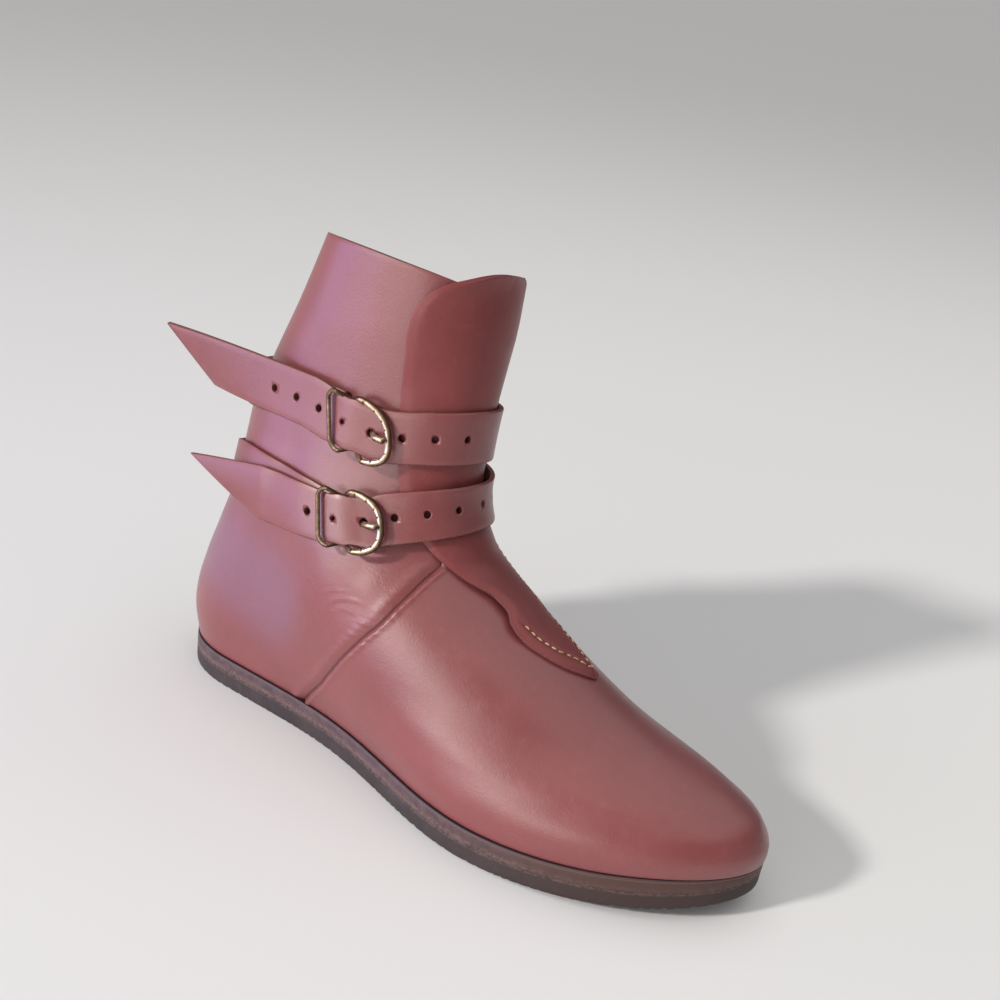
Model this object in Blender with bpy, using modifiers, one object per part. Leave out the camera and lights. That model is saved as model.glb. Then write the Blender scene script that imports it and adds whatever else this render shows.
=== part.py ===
"""Buckled leather ankle boot for the right foot.

X runs to the toe, Y to the inner side of the foot and Z up from the floor. Sizes are in millimetres
and are turned into metres where each mesh is made.
"""

import bmesh
import bpy
import numpy as np
from mathutils import Matrix, Vector

MM = 0.001
GAP = 0.3  # between pieces that touch

UPPER_LEATHER = 2.2
FLAP_LEATHER = 2.2
STRAP_LEATHER = 2.2
STRAP_WIDTH = 22.0

FLOOR_TO_FEATHER = 15.0  # both sole layers together
TOE_SPRING = 10.2
SPRING_FROM, SPRING_TO = 45.0, 146.0
TOE_SWING = 11.0
SWING_FROM, SWING_TO = -20.0, 142.0
SHAFT_LEAN = 18.0  # towards the inner side, by the collar
COLLAR_TILT = 0.23  # outer edge of the collar higher than the inner one
LEAN_FROM, LEAN_SPAN = 60.0, 130.0

# One row for each loop round the boot, from the feather line up to the collar. The half widths are
# taken at the heel and at the ball, heel_at and ball_at are shares of the loop's length.
LEVEL_COLUMNS = (
    "z_back", "z_front", "x_back", "x_front", "heel_lateral", "heel_medial", "ball_lateral",
    "ball_medial", "heel_at", "ball_at", "back_power", "front_power", "waist_lateral", "waist_medial",
)
LEVELS = np.array([
    (15.3, 15.3, -146.0, 146.0, 29.8, 30.5, 50.6, 45.0, 0.13, 0.66, 2.3, 1.9, 6.4, 8.0),
    (30.0, 25.1, -147.6, 145.0, 32.0, 32.5, 51.8, 45.2, 0.13, 0.65, 2.3, 1.9, 4.5, 6.5),
    (45.0, 37.4, -145.4, 127.5, 33.5, 33.5, 48.8, 43.2, 0.14, 0.62, 2.3, 1.9, 2.2, 3.7),
    (60.0, 50.8, -141.0, 94.5, 33.5, 33.5, 45.5, 42.0, 0.16, 0.58, 2.3, 1.9, 0.2, 1.2),
    (80.0, 71.0, -135.3, 53.0, 33.5, 33.5, 42.5, 39.0, 0.20, 0.54, 2.2, 2.0, 0.0, 0.0),
    (103.0, 100.0, -130.4, -2.0, 33.5, 33.5, 37.0, 37.0, 0.30, 0.52, 2.1, 2.0, 0.0, 0.0),
    (126.0, 130.0, -131.8, -16.8, 31.0, 31.0, 32.0, 32.0, 0.40, 0.50, 2.0, 2.1, 0.0, 0.0),
    (150.0, 158.0, -126.0, -18.3, 30.5, 30.5, 30.5, 30.5, 0.44, 0.50, 2.0, 2.1, 0.0, 0.0),
    (179.0, 187.5, -115.5, -18.6, 32.5, 32.5, 32.5, 32.5, 0.45, 0.50, 2.0, 2.1, 0.0, 0.0),
    (213.0, 218.5, -103.7, -22.4, 36.0, 36.0, 36.0, 36.0, 0.45, 0.50, 2.0, 2.1, 0.0, 0.0),
])
COLLAR_LEVEL = len(LEVELS) - 1.0
UPPER_COLUMNS = 44
UPPER_STEPS_PER_LEVEL = 2.4

# Level of the collar's cut edge round the boot: it dips towards the front under the flap.
COLLAR_COLUMNS = ("turn", "level")
COLLAR = np.array([
    (0.0, 8.83), (0.06, 8.865), (0.10, 8.87), (0.16, 8.845), (0.24, 8.785), (0.32, 8.71), (0.40, 8.635),
    (0.50, 8.54), (0.60, 8.51), (0.70, 8.55), (0.80, 8.645), (0.90, 8.75), (1.0, 8.83),
])
COLLAR_FROM = 6.5  # loops below this level are not cut

# The throat is a slit in the front of the upper, from this level to the collar.
THROAT_LEVEL = 5.2
THROAT_LATERAL, THROAT_MEDIAL = 20 / 44, 26 / 44

# The seam between toe piece and quarter, pressed in along the outer side.
SEAM_COLUMNS = ("level", "turn")
SEAM = np.array([
    (0.0, 0.177), (0.6, 0.187), (2.05, 0.211), (3.2, 0.244), (3.95, 0.283), (4.35, 0.320), (4.7, 0.3715),
    (4.98, 0.4245),
])
SEAM_RADIUS, SEAM_DEPTH = 1.5, 1.1

# The front flap: a row for each height, with its free outer edge and its sewn inner edge.
FLAP_COLUMNS = ("level", "lateral_edge", "medial_edge")
FLAP = np.array([
    (3.84, 0.526, 0.542), (4.0, 0.497, 0.555), (4.08, 0.484, 0.561), (4.2, 0.469, 0.570),
    (4.3, 0.460, 0.577), (4.38, 0.4575, 0.582), (4.44, 0.460, 0.586), (4.55, 0.473, 0.592),
    (4.65, 0.471, 0.598), (4.79, 0.449, 0.606), (4.95, 0.429, 0.614), (5.16, 0.406, 0.623),
    (5.5, 0.387, 0.634), (6.1, 0.369, 0.645), (6.94, 0.353, 0.653), (7.28, 0.347, 0.656),
    (7.62, 0.3435, 0.658), (8.0, 0.3385, 0.660), (8.2, 0.340, 0.661), (8.36, 0.348, 0.662),
    (8.52, 0.365, 0.662), (8.62, 0.386, 0.662), (8.75, 0.428, 0.662), (8.85, 0.470, 0.662),
])
FLAP_ROWS, FLAP_STEPS = 32, 10
FLAP_LIFT = 0.9
# How far the free outer edge stands off, a row for each height.
STAND_COLUMNS = ("level", "stand")
FLAP_STAND = np.array([
    (3.8, 0.0), (4.25, 0.0), (4.42, 1.4), (4.7, 0.8), (4.95, 0.0), (7.2, 0.0), (7.7, 1.6), (8.2, 2.6),
    (9.0, 2.6),
])
STAND_WIDTH = 26.0  # of the strip that stands off

# Each strap starts at its buckle, goes back round the heel, the inner side and the front, and lies
# over itself on the outer side. lift is the height of its under face over the upper, and lean is how
# much further its upper edge stands off. It is drawn in a little where it passes the buckle.
STRAP_COLUMNS = ("turn", "level", "lift", "width", "lean")
UPPER_STRAP = np.array([
    (0.278, 6.615, 0.50, 22.0, 0.0), (0.250, 6.66, 0.50, 22.0, 0.0), (0.200, 6.72, 0.50, 22.0, 0.0),
    (0.100, 6.62, 0.65, 22.0, 0.0), (0.000, 6.52, 0.70, 22.0, 0.0), (-0.100, 6.54, 0.65, 22.0, 0.0),
    (-0.290, 6.66, 0.55, 22.0, 0.0), (-0.330, 6.68, 3.75, 22.0, 0.0), (-0.500, 6.70, 3.75, 22.0, 0.0),
    (-0.600, 6.62, 3.75, 22.0, 0.0), (-0.640, 6.55, 3.50, 22.0, 0.0), (-0.662, 6.524, 3.30, 22.0, 0.0),
    (-0.6725, 6.538, 3.30, 21.2, 0.0), (-0.680, 6.548, 3.45, 19.0, 0.0), (-0.6885, 6.56, 3.80, 18.0, 0.0),
    (-0.700, 6.575, 4.05, 18.2, 0.0), (-0.7115, 6.59, 3.80, 18.4, 0.0), (-0.720, 6.602, 3.45, 19.6, 0.0),
    (-0.729, 6.618, 3.25, 21.6, 0.0), (-0.749, 6.68, 3.20, 22.0, 0.0), (-0.765, 6.72, 3.20, 22.0, 0.0),
])
LOWER_STRAP = np.array([
    (0.290, 5.20, 0.55, 22.0, 0.0), (0.250, 5.24, 0.60, 22.0, 0.0), (0.168, 5.25, 0.65, 22.0, 0.0),
    (0.130, 5.215, 0.65, 22.0, 0.0), (0.083, 5.07, 0.65, 22.0, 0.0), (0.040, 4.93, 0.70, 22.0, 0.0),
    (0.000, 4.87, 0.70, 22.0, 0.0), (-0.060, 4.89, 0.70, 22.0, 0.0), (-0.120, 5.02, 0.70, 22.0, 0.0),
    (-0.200, 5.30, 0.70, 22.0, 0.0), (-0.280, 5.58, 0.70, 22.0, 0.5), (-0.325, 5.65, 3.70, 22.0, 1.0),
    (-0.420, 5.68, 3.80, 22.0, 1.8), (-0.500, 5.67, 3.80, 22.0, 2.0), (-0.548, 5.625, 3.80, 22.0, 1.8),
    (-0.592, 5.545, 3.80, 22.0, 1.0), (-0.630, 5.445, 3.50, 22.0, 0.3), (-0.648, 5.38, 3.40, 22.0, 0.0),
    (-0.662, 5.308, 3.30, 22.0, 0.0), (-0.6715, 5.287, 3.30, 21.2, 0.0), (-0.6785, 5.272, 3.45, 19.0, 0.0),
    (-0.687, 5.254, 3.80, 18.0, 0.0), (-0.698, 5.23, 4.05, 18.2, 0.0), (-0.709, 5.206, 3.80, 18.4, 0.0),
    (-0.7175, 5.19, 3.45, 19.6, 0.0), (-0.726, 5.18, 3.25, 21.6, 0.0), (-0.740, 5.17, 3.20, 22.0, 0.0),
    (-0.757, 5.155, 3.20, 22.0, 0.0), (-0.800, 5.10, 3.40, 22.0, 0.0), (-0.815, 5.075, 3.70, 22.0, 0.0),
])
STRAP_STEPS, STRAP_ACROSS = 30, 5
# Free ends: length from where the strap leaves the shaft to its point, how much shorter the under
# edge is cut, and degrees turned to the inner side, upwards and about its own length.
TAIL_COLUMNS = ("length", "slant", "yaw", "pitch", "twist")
UPPER_TAIL = (89.0, 32.0, 3.0, -1.5, -21.0)
LOWER_TAIL = (44.3, 39.5, 4.0, -12.5, -11.0)
TAIL_STEPS = 6
HOLE_RADIUS, PIN_HOLE_RADIUS = 1.6, 2.3
HOLE_STEP = 13.0
UPPER_HOLES, LOWER_HOLES = (-3, 4), (-5, 2)  # first and last hole, counted from the pin towards the point

# Buckles: bar in the middle, a square loop behind it and a round bow in front of it.
# Their bar is at a level and turn of the upper; tilt and skew are the degrees by which the bow points
# up and the wire is pulled out of square.
BUCKLE_COLUMNS = ("level", "turn", "tilt", "skew")
UPPER_BUCKLE = (6.575, 0.300, -6.0, 18.0)
LOWER_BUCKLE = (5.23, 0.302, 8.0, 12.0)
LOOP_LENGTH, BOW_LENGTH, BUCKLE_HALF_HEIGHT = 9.3, 17.2, 11.5
LOOP_CORNER, BOW_POWER = 3.6, 2.5
WIRE_RADIUS = 1.2
BAR_LIFT, LOOP_LIFT, BOW_LIFT = 2.1, 7.3, 7.0
LOOP_RISE, BOW_RISE = 5.0, 6.0  # the wire climbs from the bar's ends over these lengths
PIN_RADIUS, PIN_HOLE_AT = 1.0, 10.0

# Sole layers, a row for each ring of their edge. rib is cut out of every second column.
OUTLINE = dict(
    x_back=-145.8, x_front=147.0, heel_lateral=31.0, heel_medial=31.5, ball_lateral=52.0, ball_medial=45.7,
    heel_at=0.13, ball_at=0.66, back_power=2.3, front_power=1.9, waist_lateral=6.5, waist_medial=8.0,
)
RING_COLUMNS = ("z", "inset", "rib")
OUTSOLE_RINGS = np.array([(0.0, 0.9, 0.9), (2.6, 0.3, 0.3), (7.4, 0.3, 0.0), (8.2, 0.8, 0.0)])
MIDSOLE_RINGS = np.array([(8.5, 0.6, 0.0), (9.3, 0.0, 0.0), (14.2, 0.0, 0.0), (15.0, 0.6, 0.0)])
INSOLE_THICKNESS = 2.2
OUTSOLE_COLUMNS, MIDSOLE_COLUMNS = 128, 64


def table_at(table, place):
    """Rows of a table at places between its rows, along smooth curves that do not overshoot."""
    place = np.clip(np.asarray(place, float), 0.0, len(table) - 1.0)
    step = np.diff(table, axis=0)
    product = step[:-1] * step[1:]
    slope = np.zeros_like(table)
    total = np.where(step[:-1] + step[1:] == 0.0, 1.0, step[:-1] + step[1:])
    slope[1:-1] = np.where(product > 0.0, 2.0 * product / total, 0.0)
    slope[0], slope[-1] = step[0], step[-1]
    low = np.minimum(place.astype(int), len(table) - 2)
    share = (place - low)[..., None]
    square, cube = share ** 2, share ** 3
    return (
        (2 * cube - 3 * square + 1) * table[low] + (cube - 2 * square + share) * slope[low]
        + (3 * square - 2 * cube) * table[low + 1] + (cube - square) * slope[low + 1]
    )


def curve_at(table, place):
    """Other columns of a table at values of its rising first one, on curves that do not overshoot."""
    key, values = table[:, 0], table[:, 1:]
    step = np.diff(key)[:, None]
    rate = np.diff(values, axis=0) / step
    slope = np.zeros_like(values)
    slope[0], slope[-1] = rate[0], rate[-1]
    steady = rate[:-1] * rate[1:] > 0.0
    early, late = np.where(steady, rate[:-1], 1.0), np.where(steady, rate[1:], 1.0)
    before, after = 2.0 * step[1:] + step[:-1], step[1:] + 2.0 * step[:-1]
    slope[1:-1] = np.where(steady, (before + after) / (before / early + after / late), 0.0)
    place = np.clip(np.asarray(place, float), key[0], key[-1])
    low = np.clip(np.searchsorted(key, place, side="right") - 1, 0, len(key) - 2)
    span = step[low]
    share = ((place - key[low]) / span[..., 0])[..., None]
    square, cube = share ** 2, share ** 3
    return (
        (2 * cube - 3 * square + 1) * values[low] + (cube - 2 * square + share) * span * slope[low]
        + (3 * square - 2 * cube) * values[low + 1] + (cube - square) * span * slope[low + 1]
    )


def half_width(along, heel, ball, heel_at, ball_at, back_power, front_power, waist):
    """Half width of a loop from its back end, 0, to its front end, 1."""
    back = np.clip((heel_at - along) / heel_at, 0.0, 1.0)
    front = np.clip((along - ball_at) / (1.0 - ball_at), 0.0, 1.0)
    middle = np.clip((along - heel_at) / (ball_at - heel_at), 0.0, 1.0)
    ease = middle ** 2 * (3.0 - 2.0 * middle)
    width = heel + (ball - heel) * ease - waist * np.sin(np.pi * middle) ** 2
    width = np.where(along < heel_at, heel * (1.0 - back ** back_power) ** (1.0 / back_power), width)
    return np.where(along > ball_at, ball * (1.0 - front ** front_power) ** (1.0 / front_power), width)


def flat_loop(row, turn):
    """X, Y and share of length along a loop at these turns, from the heel by the outer side."""
    along = 0.5 - 0.5 * np.cos(2.0 * np.pi * turn)
    medial = np.mod(turn, 1.0) > 0.5
    width = half_width(
        along,
        np.where(medial, row["heel_medial"], row["heel_lateral"]),
        np.where(medial, row["ball_medial"], row["ball_lateral"]),
        row["heel_at"], row["ball_at"], row["back_power"], row["front_power"],
        np.where(medial, row["waist_medial"], row["waist_lateral"]),
    )
    x = row["x_back"] + (row["x_front"] - row["x_back"]) * along
    swing = np.clip((x - SWING_FROM) / (SWING_TO - SWING_FROM), 0.0, 1.0)
    y = np.where(medial, width, -width) + TOE_SWING * swing ** 2
    return x, y, along


def toe_lift(x):
    return TOE_SPRING * np.clip((x - SPRING_FROM) / (SPRING_TO - SPRING_FROM), 0.0, 1.0) ** 2


def skin(level, turn):
    """Points on the upper's outer face."""
    level, turn = np.broadcast_arrays(np.asarray(level, float), np.asarray(turn, float))
    row = dict(zip(LEVEL_COLUMNS, np.moveaxis(table_at(LEVELS, level), -1, 0)))
    x, y, along = flat_loop(row, turn)
    z = row["z_back"] + (row["z_front"] - row["z_back"]) * along
    height = np.clip((z - LEAN_FROM) / LEAN_SPAN, 0.0, 1.4)
    z = z - y * COLLAR_TILT * height
    y = y + SHAFT_LEAN * height ** 1.3
    return np.stack([x, y, z + toe_lift(x)], axis=-1)


def outward(level, turn):
    """Unit normals of the outer face."""
    level = np.clip(np.asarray(level, float), 0.02, COLLAR_LEVEL - 0.02)
    turn = np.asarray(turn, float)
    round_boot = skin(level, turn + 0.002) - skin(level, turn - 0.002)
    up_boot = skin(level + 0.02, turn) - skin(level - 0.02, turn)
    normal = np.cross(round_boot, up_boot)
    return normal / np.linalg.norm(normal, axis=-1, keepdims=True)


def raised(level, turn, lift):
    """Points at a height over the upper's outer face."""
    normal = outward(level, turn)
    return skin(level, turn) + normal * np.broadcast_to(lift, normal.shape[:-1])[..., None]


def wall_rate(level, turn):
    """Millimetres of wall to one level."""
    level = np.clip(level, 0.1, COLLAR_LEVEL - 0.1)
    return np.linalg.norm(skin(level + 0.1, turn) - skin(level - 0.1, turn), axis=-1) / 0.2


def new_material(name, colour, roughness, metallic=0.0):
    material = bpy.data.materials.new(name)
    material.use_nodes = True
    shader = material.node_tree.nodes["Principled BSDF"]
    shader.inputs["Base Color"].default_value = (*colour, 1.0)
    shader.inputs["Roughness"].default_value = roughness
    shader.inputs["Metallic"].default_value = metallic
    return material


def new_object(name, data, collection, material=None):
    item = bpy.data.objects.new(name, data)
    collection.objects.link(item)
    if material:
        data.materials.append(material)
    return item


def sheet(name, points, collection, material, closed=False, keep=None):
    """A sheet of faces through rows of points, one row over the other."""
    rows, columns = points.shape[:2]
    mesh = bpy.data.meshes.new(name)
    build = bmesh.new()
    grid = [[build.verts.new(point * MM) for point in row] for row in points]
    for row in range(rows - 1):
        for column in range(columns if closed else columns - 1):
            if keep is not None and not keep[row, column]:
                continue
            after = (column + 1) % columns
            build.faces.new(
                (grid[row][column], grid[row][after], grid[row + 1][after], grid[row + 1][column])
            )
    loose = [vert for vert in build.verts if not vert.link_faces]
    bmesh.ops.delete(build, geom=loose, context="VERTS")
    build.to_mesh(mesh)
    build.free()
    return new_object(name, mesh, collection, material)


def thicken(item, thickness, side):
    """Give a sheet its leather thickness, inwards with side -1 and outwards with side 1."""
    solid = item.modifiers.new("leather", "SOLIDIFY")
    solid.thickness = thickness * MM
    solid.offset = side
    solid.use_even_offset = True
    solid.use_rim = True


def boolean(item, cutter, operation):
    change = item.modifiers.new(cutter.name, "BOOLEAN")
    change.operation = operation
    change.solver = "EXACT"
    change.object = cutter


def tube(name, points, radius, collection, cyclic=False, material=None):
    """A round bar along points, as a mesh."""
    curve = bpy.data.curves.new(name, "CURVE")
    curve.dimensions = "3D"
    curve.bevel_depth = radius * MM
    curve.bevel_resolution = 1
    curve.use_fill_caps = not cyclic
    line = curve.splines.new("POLY")
    line.points.add(len(points) - 1)
    line.use_cyclic_u = cyclic
    for target, point in zip(line.points, points):
        target.co = (*(float(value) * MM for value in point), 1.0)
    item = new_object(name, curve, collection, material)
    bpy.ops.object.select_all(action="DESELECT")
    item.select_set(True)
    bpy.context.view_layer.objects.active = item
    bpy.ops.object.convert(target="MESH")
    item = bpy.context.view_layer.objects.active
    tidy = bmesh.new()
    tidy.from_mesh(item.data)
    bmesh.ops.remove_doubles(tidy, verts=tidy.verts, dist=0.00001)
    bmesh.ops.recalc_face_normals(tidy, faces=tidy.faces)
    tidy.to_mesh(item.data)
    tidy.free()
    return item


def sole_plate(name, rings, collection, material):
    """A plate from rings of points, closed under and over by strips from side to side."""
    count = rings.shape[1]
    half = count // 2
    mesh = bpy.data.meshes.new(name)
    build = bmesh.new()
    grid = [[build.verts.new(point * MM) for point in ring] for ring in rings]
    for low, high in zip(grid[:-1], grid[1:]):
        for column in range(count):
            after = (column + 1) % count
            build.faces.new((low[column], low[after], high[after], high[column]))
    for ring, over in ((grid[0], False), (grid[-1], True)):
        for column in range(half):
            strip = [ring[column], ring[column + 1], ring[-column - 1], ring[-column]]
            strip = list(dict.fromkeys(strip))
            build.faces.new(strip if over else strip[::-1])
    build.to_mesh(mesh)
    build.free()
    return new_object(name, mesh, collection, material)


def sole_rings(table, columns):
    turn = np.arange(columns) / columns
    rings = []
    for z, inset, rib in table:
        row = dict(OUTLINE)
        row["x_back"] += inset
        row["x_front"] -= inset
        cut = inset + rib * (np.arange(columns) % 2)
        x, y, along = flat_loop(row, turn)
        centre = TOE_SWING * np.clip((x - SWING_FROM) / (SWING_TO - SWING_FROM), 0.0, 1.0) ** 2
        y = centre + (y - centre) * (1.0 - cut / 40.0)
        rings.append(np.stack([x, y, z + toe_lift(x)], axis=-1))
    return np.array(rings)


def strap_place(table, turn):
    """Level, lift, width and lean of a strap at a turn, from its table."""
    falling = table * np.array((-1.0, 1.0, 1.0, 1.0, 1.0))
    return np.moveaxis(curve_at(falling, -np.asarray(turn, float)), -1, 0)


def strap_points(table, tail):
    """Under face of a strap: rows along its length, with points across its width."""
    turn = np.linspace(table[0, 0], table[-1, 0], STRAP_STEPS)
    turn = np.unique(np.concatenate([turn, table[:, 0]]).round(4))[::-1]
    level, lift, width, lean = strap_place(table, turn)[..., None]
    share = np.linspace(-0.5, 0.5, STRAP_ACROSS)
    levels = level + share * width / wall_rate(level, turn[:, None])
    rows = raised(levels, turn[:, None] + 0.0 * levels, lift + lean * (share + 0.5))
    length, slant, yaw, pitch, twist = tail
    flat = np.cos(np.radians(pitch))
    away = np.array((
        -flat * np.cos(np.radians(yaw)), flat * np.sin(np.radians(yaw)), np.sin(np.radians(pitch)),
    ))
    reach = length - slant * (0.5 - share)
    middle = rows[-1, STRAP_ACROSS // 2]
    ends = []
    for part in np.arange(1, TAIL_STEPS + 1) / TAIL_STEPS:
        roll = np.array(Matrix.Rotation(np.radians(twist * part ** 2), 3, Vector(away)))
        ends.append(middle + (rows[-1] - middle) @ roll.T + away * (reach * part)[:, None])
    return np.concatenate([rows, np.array(ends)])


def strap_frames(rows, places):
    """Frames on a strap's under face at distances along it: X along the strap, Z away from the leg."""
    middle = rows[:, STRAP_ACROSS // 2]
    length = np.concatenate([[0.0], np.cumsum(np.linalg.norm(np.diff(middle, axis=0), axis=1))])
    frames = []
    for place in places:
        near = int(np.clip(np.searchsorted(length, place) - 1, 0, len(rows) - 2))
        share = (place - length[near]) / (length[near + 1] - length[near])
        origin = middle[near] + (middle[near + 1] - middle[near]) * share
        along = middle[near + 1] - middle[near]
        frames.append(axes_matrix(origin, along, np.cross(rows[near, -1] - rows[near, 0], along)))
    return frames


def axes_matrix(origin, along, normal):
    normal = normal / np.linalg.norm(normal)
    along = along - normal * float(np.dot(along, normal))
    along = along / np.linalg.norm(along)
    side = np.cross(normal, along)
    matrix = Matrix.Identity(4)
    for axis in range(3):
        matrix[axis] = (along[axis], side[axis], normal[axis], origin[axis] * MM)
    return matrix


def local_frame(level, turn, tilt):
    """Place on the upper with X forward and turned up by tilt, Y up and Z away from the leg."""
    forward = skin(level, turn + 0.01) - skin(level, turn - 0.01)
    frame = axes_matrix(skin(level, turn), forward, outward(level, turn))
    return frame @ Matrix.Rotation(np.radians(tilt), 4, "Z")


def hole_cutter(name, places, collection):
    """Round punches through a strap, at rows of frame and radius."""
    mesh = bpy.data.meshes.new(name)
    build = bmesh.new()
    for frame, radius in places:
        bmesh.ops.create_cone(
            build, cap_ends=True, segments=10, radius1=radius * MM, radius2=radius * MM,
            depth=3.6 * MM, matrix=frame @ Matrix.Translation((0.0, 0.0, 1.55 * MM)),
        )
    build.to_mesh(mesh)
    build.free()
    item = new_object(name, mesh, collection)
    item.hide_render = True
    item.display_type = "WIRE"
    return item


def frame_line(skew):
    """Middle line of the buckle's outer wire: square loop behind the bar, round bow in front."""
    high = BUCKLE_HALF_HEIGHT
    points = []
    for angle in np.linspace(-90.0, 90.0, 17):
        out, side = np.cos(np.radians(angle)), np.sin(np.radians(angle))
        points.append((
            BOW_LENGTH * abs(out) ** (2.0 / BOW_POWER),
            high * np.sign(side) * abs(side) ** (2.0 / BOW_POWER),
        ))
    for side in (1.0, -1.0):
        turns = np.linspace(90.0, 180.0, 4) if side > 0 else np.linspace(180.0, 270.0, 4)
        for angle in turns:
            bend = np.radians(angle)
            points.append((
                -LOOP_LENGTH + LOOP_CORNER + LOOP_CORNER * np.cos(bend),
                side * (high - LOOP_CORNER) + LOOP_CORNER * np.sin(bend),
            ))
    line = []
    for x, y in points:
        share = min(x / BOW_RISE if x > 0.0 else -x / LOOP_RISE, 1.0)
        end = BOW_LIFT if x > 0.0 else LOOP_LIFT
        line.append((x - y * skew, y, BAR_LIFT + (end - BAR_LIFT) * share ** 2 * (3.0 - 2.0 * share)))
    return line


def buckle(name, place, collection, cutters, metal):
    level, turn, tilt, skew = place
    skew = np.tan(np.radians(skew))
    frame = local_frame(level, turn, tilt)
    item = tube(name + "_frame", frame_line(skew), WIRE_RADIUS, collection, True, metal)
    bar_end = BUCKLE_HALF_HEIGHT - 0.5
    bar_line = [(-end * skew, end, BAR_LIFT) for end in (-bar_end, bar_end)]
    bar = tube(name + "_bar", bar_line, WIRE_RADIUS - 0.15, cutters)
    bar.hide_render = True
    bar.display_type = "WIRE"
    boolean(item, bar, "UNION")
    over_bow = BOW_LIFT + WIRE_RADIUS + PIN_RADIUS + GAP
    pin_line = [
        (WIRE_RADIUS + 1.2, 0.0, 1.55), (6.0, 0.0, 1.35), (PIN_HOLE_AT - 1.6, 0.0, 1.35),
        (PIN_HOLE_AT - 0.5, 0.0, 2.2), (PIN_HOLE_AT + 0.4, 0.0, 4.4), (PIN_HOLE_AT + 1.8, 0.0, 6.6),
        (PIN_HOLE_AT + 4.0, 0.0, over_bow - 0.5), (BOW_LENGTH - 2.0, 0.0, over_bow),
        (BOW_LENGTH + 0.4, 0.0, over_bow),
    ]
    pin = tube(name + "_pin", pin_line, PIN_RADIUS, collection, False, metal)
    for piece in (item, bar, pin):
        piece.matrix_world = frame
    return frame


for old in list(bpy.data.objects):
    bpy.data.objects.remove(old, do_unlink=True)
boot = bpy.data.collections.new("buckled_boot")
cutters = bpy.data.collections.new("cutters")
for group in (boot, cutters):
    bpy.context.scene.collection.children.link(group)

leather = new_material("upper_leather", (0.215, 0.066, 0.062), 0.42)
flap_leather = new_material("flap_leather", (0.200, 0.058, 0.054), 0.45)
strap_leather = new_material("strap_leather", (0.210, 0.070, 0.066), 0.50)
rubber = new_material("sole_rubber", (0.050, 0.038, 0.040), 0.85)
sole_leather = new_material("midsole_leather", (0.085, 0.060, 0.062), 0.70)
lining = new_material("insole_leather", (0.190, 0.105, 0.080), 0.80)
brass = new_material("aged_brass", (0.360, 0.270, 0.160), 0.38, 1.0)

sole_plate("outsole", sole_rings(OUTSOLE_RINGS, OUTSOLE_COLUMNS), boot, rubber)
sole_plate("midsole", sole_rings(MIDSOLE_RINGS, MIDSOLE_COLUMNS), boot, sole_leather)

insole_turn = np.arange(MIDSOLE_COLUMNS) / MIDSOLE_COLUMNS
insole_edge = raised(0.0, insole_turn, -(UPPER_LEATHER + 0.9))
insole_rings = []
for height in (FLOOR_TO_FEATHER + GAP, FLOOR_TO_FEATHER + GAP + INSOLE_THICKNESS):
    ring = insole_edge.copy()
    ring[:, 2] = height + toe_lift(ring[:, 0])
    insole_rings.append(ring)
sole_plate("insole", np.array(insole_rings), boot, lining)

upper_levels = np.linspace(0.0, COLLAR_LEVEL, int(COLLAR_LEVEL * UPPER_STEPS_PER_LEVEL) + 2)
upper_turns = np.arange(UPPER_COLUMNS) / UPPER_COLUMNS
in_throat = (upper_turns >= THROAT_LATERAL - 0.001) & (upper_turns < THROAT_MEDIAL - 0.001)
above_throat = upper_levels[:-1] >= THROAT_LEVEL
collar_edge = np.interp(upper_turns, COLLAR[:, 0], COLLAR[:, 1])
cut_share = (collar_edge - COLLAR_FROM) / (COLLAR_LEVEL - COLLAR_FROM)
over_cut = np.maximum(upper_levels[:, None] - COLLAR_FROM, 0.0)
cut_levels = np.minimum(upper_levels[:, None], COLLAR_FROM) + over_cut * cut_share[None, :]
upper = sheet(
    "upper", skin(cut_levels, upper_turns[None, :] + 0.0 * cut_levels), boot, leather, True,
    ~(above_throat[:, None] & in_throat[None, :]),
)
thicken(upper, UPPER_LEATHER, -1.0)
seam_rows = table_at(SEAM, np.linspace(0.0, len(SEAM) - 1.0, 26))
seam_line = raised(seam_rows[:, 0], seam_rows[:, 1], SEAM_RADIUS - SEAM_DEPTH)
seam_line = np.concatenate([[2.0 * seam_line[0] - seam_line[1]], seam_line])
seam = tube("seam_groove", seam_line, SEAM_RADIUS, cutters)
seam.hide_render = True
seam.display_type = "WIRE"
boolean(upper, seam, "DIFFERENCE")

flap_share = np.linspace(0.0, 1.0, FLAP_STEPS + 1)
flap_rows = table_at(FLAP, np.linspace(0.0, len(FLAP) - 1.0, FLAP_ROWS))
flap_turns = flap_rows[:, 1:2] + (flap_rows[:, 2:3] - flap_rows[:, 1:2]) * flap_share[None, :]
flap_levels = flap_rows[:, 0:1] + 0.0 * flap_turns
flap_rate = np.linalg.norm(
    skin(flap_levels, flap_turns + 0.002) - skin(flap_levels, flap_turns - 0.002), axis=-1,
) / 0.004
from_outer = (flap_turns - flap_rows[:, 1:2]) * flap_rate
stand = curve_at(FLAP_STAND, flap_levels)[..., 0] * np.clip(1.0 - from_outer / STAND_WIDTH, 0.0, 1.0) ** 2
flap = sheet("front_flap", raised(flap_levels, flap_turns, FLAP_LIFT + stand), boot, flap_leather)
thicken(flap, FLAP_LEATHER, 1.0)

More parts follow.
